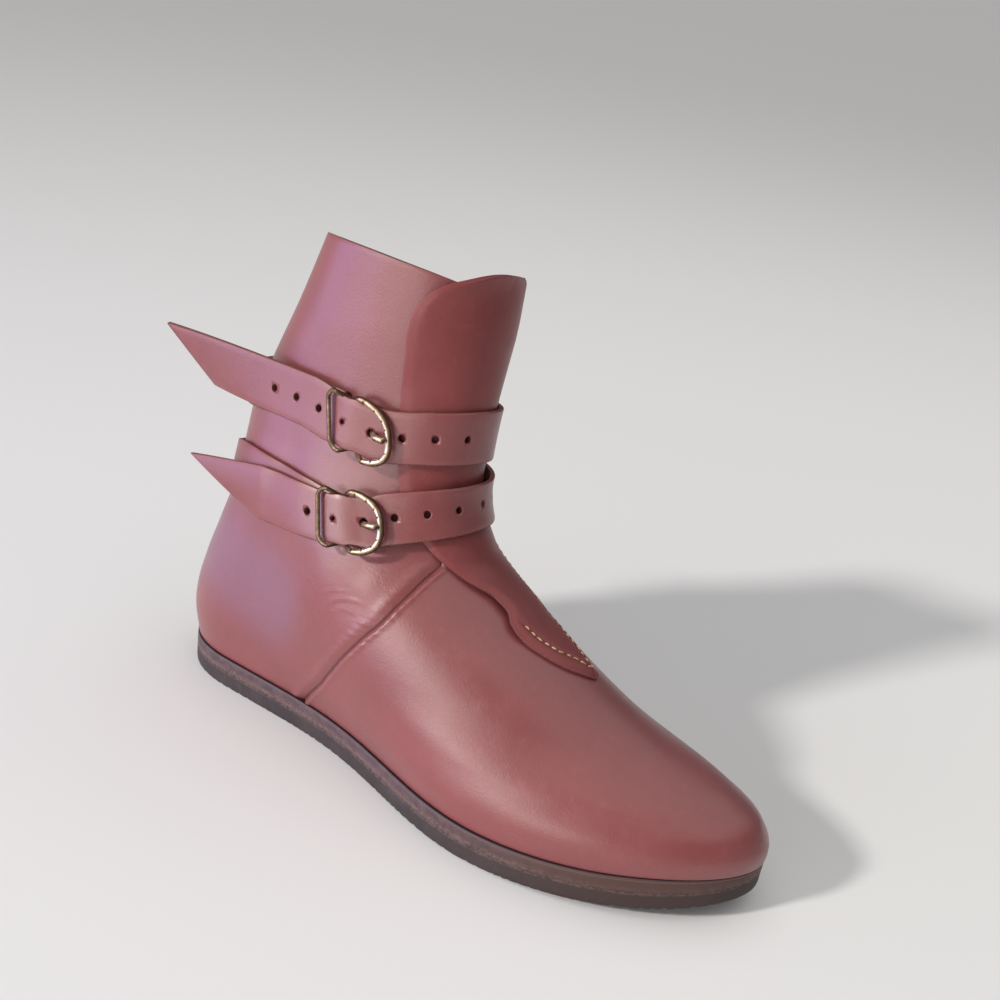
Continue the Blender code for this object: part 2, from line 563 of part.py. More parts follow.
for name, table, tail, holes, place in (
    ("upper", UPPER_STRAP, UPPER_TAIL, UPPER_HOLES, UPPER_BUCKLE),
    ("lower", LOWER_STRAP, LOWER_TAIL, LOWER_HOLES, LOWER_BUCKLE),
):
    rows = strap_points(table, tail)
    strap = sheet("strap_" + name, rows, boot, strap_leather)
    thicken(strap, STRAP_LEATHER, 1.0)
    frame = buckle("buckle_" + name, place, boot, cutters, brass)
    pin = np.array(frame @ Vector((PIN_HOLE_AT * MM, 0.0, 4.0 * MM))) / MM
    middle = rows[:, STRAP_ACROSS // 2]
    length = np.concatenate([[0.0], np.cumsum(np.linalg.norm(np.diff(middle, axis=0), axis=1))])
    finely = np.linspace(length[-1] / 2.0, length[-1], 2000)
    line = np.stack([np.interp(finely, length, middle[:, axis]) for axis in range(3)], axis=-1)
    pin_place = finely[np.argmin(np.linalg.norm(line - pin, axis=1))]
    steps = range(holes[0], holes[1] + 1)
    frames = strap_frames(rows, [pin_place + HOLE_STEP * step for step in steps])
    radii = [HOLE_RADIUS if step else PIN_HOLE_RADIUS for step in steps]
    boolean(strap, hole_cutter("holes_" + name, list(zip(frames, radii)), cutters), "DIFFERENCE")
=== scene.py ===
import bmesh
import bpy
import numpy as np
from mathutils import Matrix, Vector


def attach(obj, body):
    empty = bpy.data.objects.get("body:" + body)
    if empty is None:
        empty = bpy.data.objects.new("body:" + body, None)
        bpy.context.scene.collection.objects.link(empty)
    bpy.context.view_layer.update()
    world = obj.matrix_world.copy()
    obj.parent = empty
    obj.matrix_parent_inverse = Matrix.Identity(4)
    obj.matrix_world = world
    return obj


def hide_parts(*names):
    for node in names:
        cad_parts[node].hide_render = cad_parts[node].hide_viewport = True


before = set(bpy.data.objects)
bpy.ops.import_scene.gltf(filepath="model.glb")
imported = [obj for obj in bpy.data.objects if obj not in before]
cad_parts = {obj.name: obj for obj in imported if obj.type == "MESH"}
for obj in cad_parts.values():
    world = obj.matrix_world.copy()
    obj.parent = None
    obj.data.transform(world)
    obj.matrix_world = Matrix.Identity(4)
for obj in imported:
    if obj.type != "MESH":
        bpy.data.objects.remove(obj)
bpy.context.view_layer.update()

# The upper. Toe piece and quarter are cut from one weight of dark red leather and closed by a single
# seam on the outer side, turned so that it lies sunk between two rolled edges. The shaft runs up from
# the quarter to a plain cut collar, the flesh side shows inside, and the flap hides the open throat.
MM = 0.001
# Sizes are in millimetres. A level counts the rows of LEVELS up the boot, from 0 at the feather line. A turn
# goes round it: 0 at the heel, 0.25 on the outer side, 0.5 at the front and 0.75 on the inner side.
UPPER_LEATHER = 2.2
TOE_SPRING, SPRING_FROM, SPRING_TO = 10.2, 45.0, 146.0
TOE_SWING, SWING_FROM, SWING_TO = 11.0, -20.0, 142.0
TIP_DROOP, DROOP_FROM, DROOP_TOP = 3.0, 108.0, 1.6
TIP_BULGE, BULGE_LEVEL, BULGE_SPREAD = 0.6, 0.4, 0.4
TIP_SHOULDER, SHOULDER_LEVEL, SHOULDER_SPREAD = 1.7, 1.15, 0.3
SHAFT_LEAN, LEAN_POWER, LEAN_FROM, LEAN_SPAN, LEAN_MOST, COLLAR_TILT = 18.0, 1.3, 60.0, 130.0, 1.4, 0.23
LEVEL_COLUMNS = (
    "z_back", "z_front", "x_back", "x_front", "heel_lateral", "heel_medial", "ball_lateral",
    "ball_medial", "heel_at", "ball_at", "back_power", "front_power", "waist_lateral", "waist_medial",
)
LEVELS = np.array([
    (15.3, 15.3, -146.0, 145.8, 29.8, 30.5, 50.6, 45.0, 0.13, 0.66, 2.3, 1.9, 6.4, 8.0),
    (30.0, 23.6, -147.6, 145.5, 32.0, 32.5, 51.8, 45.2, 0.13, 0.65, 2.3, 1.9, 4.5, 6.5),
    (45.0, 36.8, -145.4, 128.6, 33.5, 33.5, 48.8, 43.2, 0.14, 0.62, 2.3, 1.9, 2.2, 3.7),
    (60.0, 50.8, -141.0, 94.5, 33.5, 33.5, 45.5, 42.0, 0.16, 0.58, 2.3, 1.9, 0.2, 1.2),
    (80.0, 71.0, -135.3, 53.0, 33.5, 33.5, 42.5, 39.0, 0.20, 0.54, 2.2, 2.0, 0.0, 0.0),
    (103.0, 100.0, -130.4, -2.0, 33.5, 33.5, 37.0, 37.0, 0.30, 0.52, 2.1, 2.0, 0.0, 0.0),
    (126.0, 130.0, -131.8, -16.8, 31.0, 31.0, 32.0, 32.0, 0.40, 0.50, 2.0, 2.1, 0.0, 0.0),
    (150.0, 158.0, -126.0, -18.3, 30.5, 30.5, 30.5, 30.5, 0.44, 0.50, 2.0, 2.1, 0.0, 0.0),
    (179.0, 187.5, -115.5, -18.6, 32.5, 32.5, 32.5, 32.5, 0.45, 0.50, 2.0, 2.1, 0.0, 0.0),
    (213.0, 218.5, -103.7, -22.4, 36.0, 36.0, 36.0, 36.0, 0.45, 0.50, 2.0, 2.1, 0.0, 0.0),
])
COLLAR_LEVEL = len(LEVELS) - 1.0
COLLAR = np.array([
    # turn and level of the cut top edge
    (0.0, 8.83), (0.06, 8.865), (0.10, 8.87), (0.16, 8.845), (0.24, 8.785), (0.32, 8.71), (0.40, 8.635),
    (0.50, 8.54), (0.60, 8.51), (0.70, 8.55), (0.80, 8.645), (0.90, 8.75), (1.0, 8.83),
])
COLLAR_FROM = 6.5
THROAT_LEVEL, THROAT_LATERAL, THROAT_MEDIAL = 5.2, 20 / 44, 26 / 44  # foot and edges of the open throat
SEAM = np.array([
    # level and turn
    (0.0, 0.181), (0.6, 0.1885), (2.05, 0.211), (3.2, 0.244), (3.95, 0.283), (4.35, 0.320), (4.7, 0.3715),
    (4.98, 0.4245),
])
LEVEL_STEP, TURN_STEP = 0.02, 0.002  # short ways to each side, over which slopes of the wall are taken


def curve_at(table, place):
    """Other columns of a table at values of its rising first one, on curves that do not overshoot."""
    key, values = table[:, 0], table[:, 1:]
    step = np.diff(key)[:, None]
    rate = np.diff(values, axis=0) / step
    slope = np.zeros_like(values)
    slope[0], slope[-1] = rate[0], rate[-1]
    steady = rate[:-1] * rate[1:] > 0.0
    early, late = np.where(steady, rate[:-1], 1.0), np.where(steady, rate[1:], 1.0)
    before, after = 2.0 * step[1:] + step[:-1], step[1:] + 2.0 * step[:-1]
    slope[1:-1] = np.where(steady, (before + after) / (before / early + after / late), 0.0)
    place = np.clip(np.asarray(place, float), key[0], key[-1])
    low = np.clip(np.searchsorted(key, place, side="right") - 1, 0, len(key) - 2)
    span = step[low]
    share = ((place - key[low]) / span[..., 0])[..., None]
    square, cube = share ** 2, share ** 3
    return (
        (2 * cube - 3 * square + 1) * values[low] + (cube - 2 * square + share) * span * slope[low]
        + (3 * square - 2 * cube) * values[low + 1] + (cube - square) * span * slope[low + 1]
    )


def table_at(table, place):
    """Rows of a table at places between its rows, counted from 0."""
    return curve_at(np.column_stack([np.arange(len(table)), table]), place)


def ramp(value, start, end):
    """Share of the way from one value to another, held at 0 and 1."""
    return np.clip((value - start) / (end - start), 0.0, 1.0)


def ease(share):
    """A share with a soft start and a soft end."""
    return share ** 2 * (3.0 - 2.0 * share)


def bell(away, spread):
    """A smooth hump, 1 in its middle."""
    return np.exp(-(away / spread) ** 2)


def half_width(along, heel, ball, heel_at, ball_at, back_power, front_power, waist):
    """Half width of a loop round the foot from its back end, 0, to its front end, 1."""
    back, middle, front = ramp(along, heel_at, 0.0), ramp(along, heel_at, ball_at), ramp(along, ball_at, 1.0)
    width = heel + (ball - heel) * ease(middle) - waist * np.sin(np.pi * middle) ** 2
    width = np.where(along < heel_at, heel * (1.0 - back ** back_power) ** (1.0 / back_power), width)
    return np.where(along > ball_at, ball * (1.0 - front ** front_power) ** (1.0 / front_power), width)


def toe_swing(x):
    return TOE_SWING * ramp(x, SWING_FROM, SWING_TO) ** 2


def toe_lift(x):
    return TOE_SPRING * ramp(x, SPRING_FROM, SPRING_TO) ** 2


def toe_droop(x):
    return TIP_DROOP * ramp(x, DROOP_FROM, SPRING_TO) ** 2


def flat_loop(row, turn):
    """X, Y and share of length along a loop at these turns, from the heel by the outer side."""
    along = 0.5 - 0.5 * np.cos(2.0 * np.pi * turn)
    medial = np.mod(turn, 1.0) > 0.5
    width = half_width(
        along,
        np.where(medial, row["heel_medial"], row["heel_lateral"]),
        np.where(medial, row["ball_medial"], row["ball_lateral"]),
        row["heel_at"], row["ball_at"], row["back_power"], row["front_power"],
        np.where(medial, row["waist_medial"], row["waist_lateral"]),
    )
    x = row["x_back"] + (row["x_front"] - row["x_back"]) * along
    return x, np.where(medial, width, -width) + toe_swing(x), along


def skin(level, turn):
    """Points on the upper's grain side, before its seam and creases."""
    level, turn = np.broadcast_arrays(np.asarray(level, float), np.asarray(turn, float))
    row = dict(zip(LEVEL_COLUMNS, np.moveaxis(table_at(LEVELS, level), -1, 0)))
    row["x_front"] = row["x_front"] + TIP_BULGE * bell(level - BULGE_LEVEL, BULGE_SPREAD)
    row["x_front"] = row["x_front"] - TIP_SHOULDER * bell(level - SHOULDER_LEVEL, SHOULDER_SPREAD)
    x, y, along = flat_loop(row, turn)
    z = row["z_back"] + (row["z_front"] - row["z_back"]) * along
    height = np.clip((z - LEAN_FROM) / LEAN_SPAN, 0.0, LEAN_MOST)
    z = z - y * COLLAR_TILT * height
    y = y + SHAFT_LEAN * height ** LEAN_POWER
    droop = toe_droop(x) * ramp(level, DROOP_TOP, 0.0)
    return np.stack([x, y, z + toe_lift(x) - droop], axis=-1)


def step_round(level, turn):
    """The short way round the boot from one side of a place to the other."""
    return skin(level, turn + TURN_STEP) - skin(level, turn - TURN_STEP)


def round_rate(level, turn):
    """Millimetres of wall to one turn."""
    return np.linalg.norm(step_round(level, turn), axis=-1) / (2.0 * TURN_STEP)


def outward(level, turn):
    """Unit normals of the grain side."""
    level = np.clip(np.asarray(level, float), LEVEL_STEP, COLLAR_LEVEL - LEVEL_STEP)
    turn = np.asarray(turn, float)
    up_boot = skin(level + LEVEL_STEP, turn) - skin(level - LEVEL_STEP, turn)
    normal = np.cross(step_round(level, turn), up_boot)
    return normal / np.linalg.norm(normal, axis=-1, keepdims=True)


def raised(level, turn, lift):
    """Points at a height over the upper's grain side."""
    normal = outward(level, turn)
    return skin(level, turn) + normal * np.broadcast_to(lift, normal.shape[:-1])[..., None]


GRAIN, FLESH, CUT = 0, 1, 2  # finish slots of a leather piece


def face_mesh(name, points, faces, slots, smooth):
    """A mesh through points, with a finish slot and a smooth or flat look for each face."""
    mesh = bpy.data.meshes.new(name)
    mesh.from_pydata((points.reshape(-1, 3) * MM).tolist(), [], faces)
    mesh.polygons.foreach_set("material_index", slots)
    mesh.polygons.foreach_set("use_smooth", smooth)
    return mesh


def add_mark(mesh, name, values):
    """Give each point of a mesh a value that its finish reads."""
    layer = mesh.attributes.new(name, "FLOAT", "POINT")
    layer.data.foreach_set("value", values.reshape(-1).astype(np.float32))


def leather_mesh(name, grain, flesh, marks, keep=None, closed=False):
    """A sheet through two grids of points, with its grain side, its flesh side and its cut edges."""
    rows, columns = grain.shape[:2]
    count = rows * columns
    faces, slots, edges = [], [], {}
    for row in range(rows - 1):
        for column in range(columns if closed else columns - 1):
            if keep is not None and not keep[row, column]:
                continue
            after = (column + 1) % columns
            loop = (
                row * columns + column, row * columns + after,
                (row + 1) * columns + after, (row + 1) * columns + column,
            )
            faces += [loop, tuple(count + corner for corner in reversed(loop))]
            slots += [GRAIN, FLESH]
            for start, end in zip(loop, loop[1:] + loop[:1]):
                if (end, start) in edges:
                    del edges[(end, start)]
                else:
                    edges[(start, end)] = True
    for start, end in edges:
        faces.append((end, start, count + start, count + end))
        slots.append(CUT)
    mesh = face_mesh(name, np.concatenate([grain, flesh]), faces, slots, [True] * len(faces))
    for mark, values in marks.items():
        add_mark(mesh, mark, np.concatenate([values, values]))
    build = bmesh.new()
    build.from_mesh(mesh)
    bmesh.ops.delete(build, geom=[vert for vert in build.verts if not vert.link_faces], context="VERTS")
    build.to_mesh(mesh)
    build.free()
    return mesh


def round_edges(piece, width, steps):
    """Take the sharpness off a piece's cut edges."""
    bevel = piece.modifiers.new("rubbed edges", "BEVEL")
    bevel.width = width * MM
    bevel.segments = steps
    bevel.limit_method = "ANGLE"
    bevel.angle_limit = np.radians(50.0)
    bevel.use_clamp_overlap = True


def show_piece(name, mesh, materials, slot, *nodes):
    """Link a finished mesh as a piece of the boot that stands for CAD nodes."""
    piece = bpy.data.objects.new(name, mesh)
    bpy.context.scene.collection.objects.link(piece)
    for material in materials:
        mesh.materials.append(material)
    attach(piece, "root")
    if nodes:
        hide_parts(*nodes)
    return piece


class Finish:
    """A material under construction: its Principled shader and short ways to add nodes."""

    FIRST_COLOUR, SECOND_COLOUR, MIXED_COLOUR = 6, 7, 2  # the mix node's colour sockets
    def __init__(self, name, roughness, metallic=0.0):
        self.material = bpy.data.materials.new(name)
        self.material.use_nodes = True
        self.tree = self.material.node_tree
        self.shader = self.tree.nodes["Principled BSDF"]
        self.shader.inputs["Roughness"].default_value = roughness
        self.shader.inputs["Metallic"].default_value = metallic
        self.place = self.tree.nodes.new("ShaderNodeTexCoord").outputs["Object"]

    def link(self, source, target):
        self.tree.links.new(source, target)

    def noise(self, size, detail=3.0, rough=0.55, squash=None):
        """Cloudy values about 0.5, with clouds of this size in millimetres."""
        node = self.tree.nodes.new("ShaderNodeTexNoise")
        node.inputs["Scale"].default_value = 1.0 / (size * MM)
        node.inputs["Detail"].default_value = detail
        node.inputs["Roughness"].default_value = rough
        place = self.place
        if squash:
            mapping = self.tree.nodes.new("ShaderNodeMapping")
            mapping.inputs["Scale"].default_value = squash
            self.link(place, mapping.inputs["Vector"])
            place = mapping.outputs["Vector"]
        self.link(place, node.inputs["Vector"])
        return node.outputs["Fac"]

    def cells(self, size, feature="F1"):
        """Distances in a net of cells of this size in millimetres."""
        node = self.tree.nodes.new("ShaderNodeTexVoronoi")
        node.feature = feature
        node.inputs["Scale"].default_value = 1.0 / (size * MM)
        self.link(self.place, node.inputs["Vector"])
        return node.outputs["Distance"]

    def mark(self, name):
        node = self.tree.nodes.new("ShaderNodeAttribute")
        node.attribute_name = name
        return node.outputs["Fac"]

    def between(self, value, low, high, out_low=0.0, out_high=1.0):
        """A value's stretch from low to high, taken to another stretch and held at its ends."""
        node = self.tree.nodes.new("ShaderNodeMapRange")
        node.interpolation_type = "SMOOTHSTEP"
        stretches = (("From Min", low), ("From Max", high), ("To Min", out_low), ("To Max", out_high))
        for socket, number in stretches:
            node.inputs[socket].default_value = number
        self.link(value, node.inputs["Value"])
        return node.outputs["Result"]

    def sum(self, *terms):
        """Values added up, each with its own weight."""
        total = None
        for value, weight in terms:
            node = self.tree.nodes.new("ShaderNodeMath")
            node.operation = "MULTIPLY_ADD"
            node.inputs[1].default_value = weight
            node.inputs[2].default_value = 0.0
            self.link(value, node.inputs[0])
            if total is not None:
                self.link(total, node.inputs[2])
            total = node.outputs["Value"]
        return total

    def times(self, first, second):
        node = self.tree.nodes.new("ShaderNodeMath")
        node.operation = "MULTIPLY"
        self.link(first, node.inputs[0])
        self.link(second, node.inputs[1])
        return node.outputs["Value"]

    def blend(self, share, first, second, mode="MIX"):
        """Two colours, or a colour socket and a colour, mixed by a share."""
        node = self.tree.nodes.new("ShaderNodeMix")
        node.data_type = "RGBA"
        node.blend_type = mode
        if isinstance(share, float):
            node.inputs["Factor"].default_value = share
        else:
            self.link(share, node.inputs["Factor"])
        for socket, colour in ((self.FIRST_COLOUR, first), (self.SECOND_COLOUR, second)):
            if isinstance(colour, tuple):
                node.inputs[socket].default_value = (*colour, 1.0)
            else:
                self.link(colour, node.inputs[socket])
        return node.outputs[self.MIXED_COLOUR]

    def stain(self, dye, share, strength, colour):
        """A dye with a colour laid over it, this strong where the share is 1."""
        return self.blend(self.between(share, 0.0, 1.0, 0.0, strength), dye, colour)

    def bump(self, height, depth, strength=1.0):
        """Relief of this depth in millimetres for height values from 0 to 1."""
        node = self.tree.nodes.new("ShaderNodeBump")
        node.inputs["Strength"].default_value = strength
        node.inputs["Distance"].default_value = depth * MM
        self.link(height, node.inputs["Height"])
        self.link(node.outputs["Normal"], self.shader.inputs["Normal"])

    def colour(self, source):
        self.link(source, self.shader.inputs["Base Color"])

    def gloss(self, source):
        self.link(source, self.shader.inputs["Roughness"])

    def coat(self, weight, roughness):
        self.shader.inputs["Coat Weight"].default_value = weight
        self.shader.inputs["Coat Roughness"].default_value = roughness


# The first colour is painted shade for the sunk seam groove and pressed stitch lines; the second is a
# painted bluish reflection of a cool light.
SEAM_PAINTED_SHADE, PAINTED_BLUE_REFLECTION = (0.045, 0.008, 0.009), (0.205, 0.092, 0.155)
COAT, CREASED_COAT, SHINE = 0.45, 0.22, 0.75  # at full polish


def grain_leather(name, polish, deep, middle, pale, worn=False):
    """Smooth waxed grain side: cloudy dye, fine pores, a soft gloss that varies a little, painted shade in
    grooves.

    Worn leather also has fine wrinkles, a duller gloss over them and a painted bluish reflection."""
    finish = Finish(name, 0.45)
    freckles = finish.noise(5.0, 3.0)
    dye = finish.blend(finish.between(finish.noise(46.0, 4.0), 0.30, 0.72), deep, middle)
    dye = finish.blend(finish.between(freckles, 0.52, 0.80, 0.0, 0.18), dye, pale)
    dye = finish.stain(dye, finish.mark("rubbed"), 0.40, pale)
    relief = [(finish.cells(0.85), 0.55), (finish.noise(0.45, 2.0), 0.45), (finish.noise(7.0, 2.0), 0.9)]
    wax = finish.sum((finish.noise(24.0, 5.0), 0.6), (freckles, 0.4))
    gloss = [(finish.between(wax, 0.25, 0.75, 0.36, 0.50), 1.0)]
    finish.coat(COAT * polish, 0.32)
    if worn:
        # A painted bluish reflection of a cool light is laid into the dye where marked.
        dye = finish.stain(dye, finish.mark("painted_reflection"), 0.62, PAINTED_BLUE_REFLECTION)
        creased = finish.mark("creased")
        relief.append((finish.times(creased, finish.noise(1.9, 4.0, 0.65, (1.0, 1.0, 2.2))), 4.5))
        gloss += [(creased, 0.11), (finish.mark("sunk"), 0.30)]
        coat_left = finish.between(creased, 0.0, 0.8, COAT * polish, CREASED_COAT * polish)
        finish.link(coat_left, finish.shader.inputs["Coat Weight"])
    # Painted shade: the sunk seam groove and the pressed stitch lines are darkened in the colour.
    finish.colour(finish.stain(dye, finish.mark("sunk"), 0.62, SEAM_PAINTED_SHADE))
    finish.bump(finish.sum(*relief), 0.12, 0.65)
    finish.gloss(finish.sum(*gloss))
    finish.shader.inputs["Specular IOR Level"].default_value = SHINE * polish
    return finish.material


def flesh_leather(name, deep, pale):
    """Rough flesh side: short fibres, no gloss."""
    finish = Finish(name, 0.92)
    nap = finish.noise(0.9, 4.0, 0.7)
    clouds = finish.sum((nap, 0.5), (finish.noise(14.0, 4.0), 0.5))
    finish.colour(finish.blend(finish.between(clouds, 0.36, 0.64), deep, pale))
    finish.bump(finish.sum((nap, 0.7), (finish.noise(3.5, 3.0), 0.6)), 0.35, 0.7)
    finish.shader.inputs["Sheen Weight"].default_value = 0.25
    finish.shader.inputs["Sheen Roughness"].default_value = 0.5
    return finish.material


def cut_leather(name, deep, pale):
    """Raw cut edge: packed fibres in layers, paler than the dyed grain."""
    finish = Finish(name, 0.85)
    fibres = finish.noise(0.6, 4.0, 0.7)
    finish.colour(finish.blend(finish.between(fibres, 0.35, 0.68), deep, pale))
    finish.bump(fibres, 0.18, 0.6)
    return finish.material


def seam_turn(level):
    """Turn of the seam at a level, along a smooth curve through its table."""
    fine = table_at(SEAM, np.linspace(0.0, len(SEAM) - 1.0, 200))
    return np.interp(level, fine[:, 0], fine[:, 1])


def shares(count):
    """Even shares up to 1, without 0, as a row."""
    return np.linspace(0.0, 1.0, count + 1)[None, 1:]


def length_along(line):
    """Distance of each point of a line from its start."""
    return np.concatenate([[0.0], np.cumsum(np.linalg.norm(np.diff(line, axis=0), axis=1))])


# Columns of points lie closest by the seam. They go on to the throat, across it, round the inner side and
# the heel, and over the quarter back to the seam.
SEAM_STEPS = np.cumsum([0.0006] * 4 + [0.0009] * 3 + [0.0014] * 4 + [0.0025] * 4 + [0.004] * 3)
SIDE_COLUMNS, THROAT_COLUMNS, BACK_COLUMNS, QUARTER_COLUMNS, QUARTER_REACH = 40, 12, 96, 80, 0.125
SEAM_DEPTH, GROOVE_SHARE, SEAM_HALF_WIDTH, SEAM_TOP, SEAM_FADE, SEAM_NEAR = 1.3, 0.4, 0.50, 5.0, 0.15, 0.1
VALLEY_QUARTER, VALLEY_TOE = 2.3, 1.1
QUARTER_ROLL, QUARTER_ROLL_AT, QUARTER_ROLL_WIDTH = 0.34, -4.4, 1.9  # a rolled edge's height, place, width
TOE_ROLL, TOE_ROLL_AT, TOE_ROLL_WIDTH = 0.55, 2.1, 1.2
SEAM_STITCH, LONG_PUCKER, LONG_PUCKER_SHARE, PUCKER_PULL = 4.1, 7.3, 0.6, 0.30
SHOWS_INSIDE, COLLAR_RUB = 0.55, 0.10  # share of a hollow on the flesh side, levels rubbed under the collar
RUBBED_EDGE, RUBBED_STEPS = 0.35, 2

levels = np.concatenate([
    np.linspace(0.0, 3.0, 36), np.linspace(3.0, 5.0, 64)[1:], np.linspace(5.0, COLLAR_LEVEL, 64)[1:],
])
seam_turns = seam_turn(levels)
seam_at = seam_turns[:, None]
near_seam = np.concatenate([-SEAM_STEPS[::-1], [0.0], SEAM_STEPS])
seam_front, seam_back = seam_at + SEAM_STEPS[-1], 1.0 + seam_at - SEAM_STEPS[-1]
turns = np.concatenate([
    seam_at + near_seam[None, :],
    seam_front + (THROAT_LATERAL - seam_front) * shares(SIDE_COLUMNS),
    THROAT_LATERAL + (THROAT_MEDIAL - THROAT_LATERAL) * shares(THROAT_COLUMNS) + 0.0 * seam_at,
    THROAT_MEDIAL + (seam_back - QUARTER_REACH - THROAT_MEDIAL) * shares(BACK_COLUMNS),
    seam_back - QUARTER_REACH * (1.0 - shares(QUARTER_COLUMNS)[:, :-1]),
], axis=1)
first_throat = len(near_seam) + SIDE_COLUMNS - 1
throat_faces = np.zeros(turns.shape[1], bool)
throat_faces[first_throat:first_throat + THROAT_COLUMNS] = True
cut_at = curve_at(COLLAR, np.mod(turns, 1.0))[..., 0]
cut_share = (cut_at - COLLAR_FROM) / (COLLAR_LEVEL - COLLAR_FROM)
over_cut = np.maximum(levels[:, None] - COLLAR_FROM, 0.0)
upper_levels = np.minimum(levels[:, None], COLLAR_FROM) + over_cut * cut_share
smooth_wall = skin(upper_levels, turns)
normal = outward(upper_levels, turns)

# Distance from the seam, square to it, and the relief that the sewing gives.
seam_line = skin(levels, seam_turns)
seam_run = np.gradient(seam_line, axis=0)
seam_run /= np.linalg.norm(seam_run, axis=1, keepdims=True)
round_run = step_round(levels, seam_turns)
round_run /= np.linalg.norm(round_run, axis=1, keepdims=True)
square_share = np.sqrt(np.clip(1.0 - (seam_run * round_run).sum(axis=1) ** 2, 0.05, 1.0))
seam_offset = turns - seam_at
seam_offset = np.where(seam_offset > 0.5, seam_offset - 1.0, np.clip(seam_offset, -SEAM_NEAR, SEAM_NEAR))
away = seam_offset * (round_rate(levels, seam_turns) * square_share)[:, None]
seam_fade = ramp(levels, SEAM_TOP + SEAM_FADE, SEAM_TOP - SEAM_FADE)[:, None]
seam_waves = 2.0 * np.pi * length_along(seam_line)
pucker = np.cos(seam_waves / SEAM_STITCH) + LONG_PUCKER_SHARE * np.cos(seam_waves / LONG_PUCKER + 1.0)
pull = 1.0 + PUCKER_PULL * pucker[:, None]
groove = bell(away, SEAM_HALF_WIDTH) * seam_fade
valley = bell(away, np.where(away < 0.0, VALLEY_QUARTER, VALLEY_TOE)) * seam_fade
quarter_roll = bell(away - QUARTER_ROLL_AT, QUARTER_ROLL_WIDTH) * seam_fade * (2.0 - pull)
toe_roll = bell(away - TOE_ROLL_AT, TOE_ROLL_WIDTH) * seam_fade * pull
seam_hollow = SEAM_DEPTH * (GROOVE_SHARE * groove + (1.0 - GROOVE_SHARE) * valley)
seam_relief = QUARTER_ROLL * quarter_roll + TOE_ROLL * toe_roll - seam_hollow

CREASES = (
    # from x, z, to x, z, sag, half width, depth: troughs, or ridges where negative, on the outer side
    (-68.0, 89.0, -26.0, 93.0, -1.0, 6.5, 0.45),
    (-52.0, 79.0, -34.0, 86.2, -2.0, 0.7, 0.14),
    (-49.2, 78.3, -36.0, 84.4, -2.0, 0.7, -0.15),
    (-47.0, 77.2, -28.5, 83.8, -2.8, 0.7, 0.18),
    (-46.0, 75.4, -25.6, 82.2, -3.3, 0.8, -0.21),
    (-43.5, 74.3, -24.0, 80.9, -3.2, 0.7, 0.19),
    (-42.6, 72.4, -29.5, 78.0, -2.6, 0.7, -0.14),
    (-41.0, 70.0, -27.0, 76.8, -2.4, 0.7, 0.14),
    (-63.0, 84.5, -51.0, 80.5, -0.8, 0.8, 0.10),
    (-61.0, 82.0, -53.0, 78.5, -0.8, 0.8, -0.08),
    (-61.0, 57.5, -47.0, 60.5, 0.8, 0.9, 0.10),
    (-60.0, 54.0, -46.0, 57.0, 0.8, 0.9, 0.08),
)
CREASED_PATCH = (-72.0, 75.0, -10.0, 91.0, 0.0, 13.0, 1.0)
# The next patch is where the painted bluish reflection lies on the quarter.
PAINTED_REFLECTION_PATCH = (-168.0, 76.0, -50.0, 56.0, 0.0, 25.0, 1.0)
CREASE_END, OUTER_FADE = 0.25, 0.3


def trough(points, crease):
    """Depth of a crease at points, from its curved middle line seen from the side."""
    start_x, start_z, end_x, end_z, sag, half, depth = crease
    run = np.array((end_x - start_x, end_z - start_z))
    length = np.linalg.norm(run)
    run = run / length
    offset = points[..., (0, 2)] - np.array((start_x, start_z))
    along = (offset @ run) / length
    across = offset @ np.array((-run[1], run[0])) + sag * 4.0 * along * (1.0 - along)
    ends = ramp(along, 0.0, CREASE_END) * ramp(along, 1.0, 1.0 - CREASE_END)
    return depth * bell(across, half) * ease(ends)


outer_side = ramp(-normal[..., 1], 0.0, OUTER_FADE)
creases = sum(trough(smooth_wall, crease) for crease in CREASES) * outer_side
relief = (seam_relief - creases)[..., None]
grain = smooth_wall + normal * relief
flesh = smooth_wall - normal * (UPPER_LEATHER - np.minimum(relief, 0.0) * SHOWS_INSIDE)
keep = ~((levels[:-1, None] >= THROAT_LEVEL) & throat_faces[None, :])
collar_near = ramp(levels[:, None], COLLAR_LEVEL - COLLAR_RUB, COLLAR_LEVEL)
upper_marks = {
    # The sunk groove's share darkens the colour as painted shade and dulls the gloss.
    "sunk": np.clip(groove * 1.1, 0.0, 1.0),
    "rubbed": np.clip(0.55 * toe_roll + 0.35 * quarter_roll + 0.35 * collar_near, 0.0, 1.0),
    "creased": trough(smooth_wall, CREASED_PATCH) * outer_side,
    # The next share is that of the painted bluish reflection.
    "painted_reflection": trough(smooth_wall, PAINTED_REFLECTION_PATCH) * outer_side,
}
upper_grain = grain_leather(
    "upper_grain", 0.95, (0.200, 0.041, 0.043), (0.232, 0.050, 0.052), (0.31, 0.095, 0.092), worn=True,
)
upper_flesh = flesh_leather("upper_flesh", (0.150, 0.058, 0.045), (0.260, 0.120, 0.098))
upper_cut = cut_leather("upper_cut_edge", (0.110, 0.042, 0.036), (0.250, 0.120, 0.095))
upper_mesh = leather_mesh("upper_shell", grain, flesh, upper_marks, keep, closed=True)
upper_looks = (upper_grain, upper_flesh, upper_cut)
upper = show_piece("upper_shell", upper_mesh, upper_looks, "upper_leather", "upper")
round_edges(upper, RUBBED_EDGE, RUBBED_STEPS)

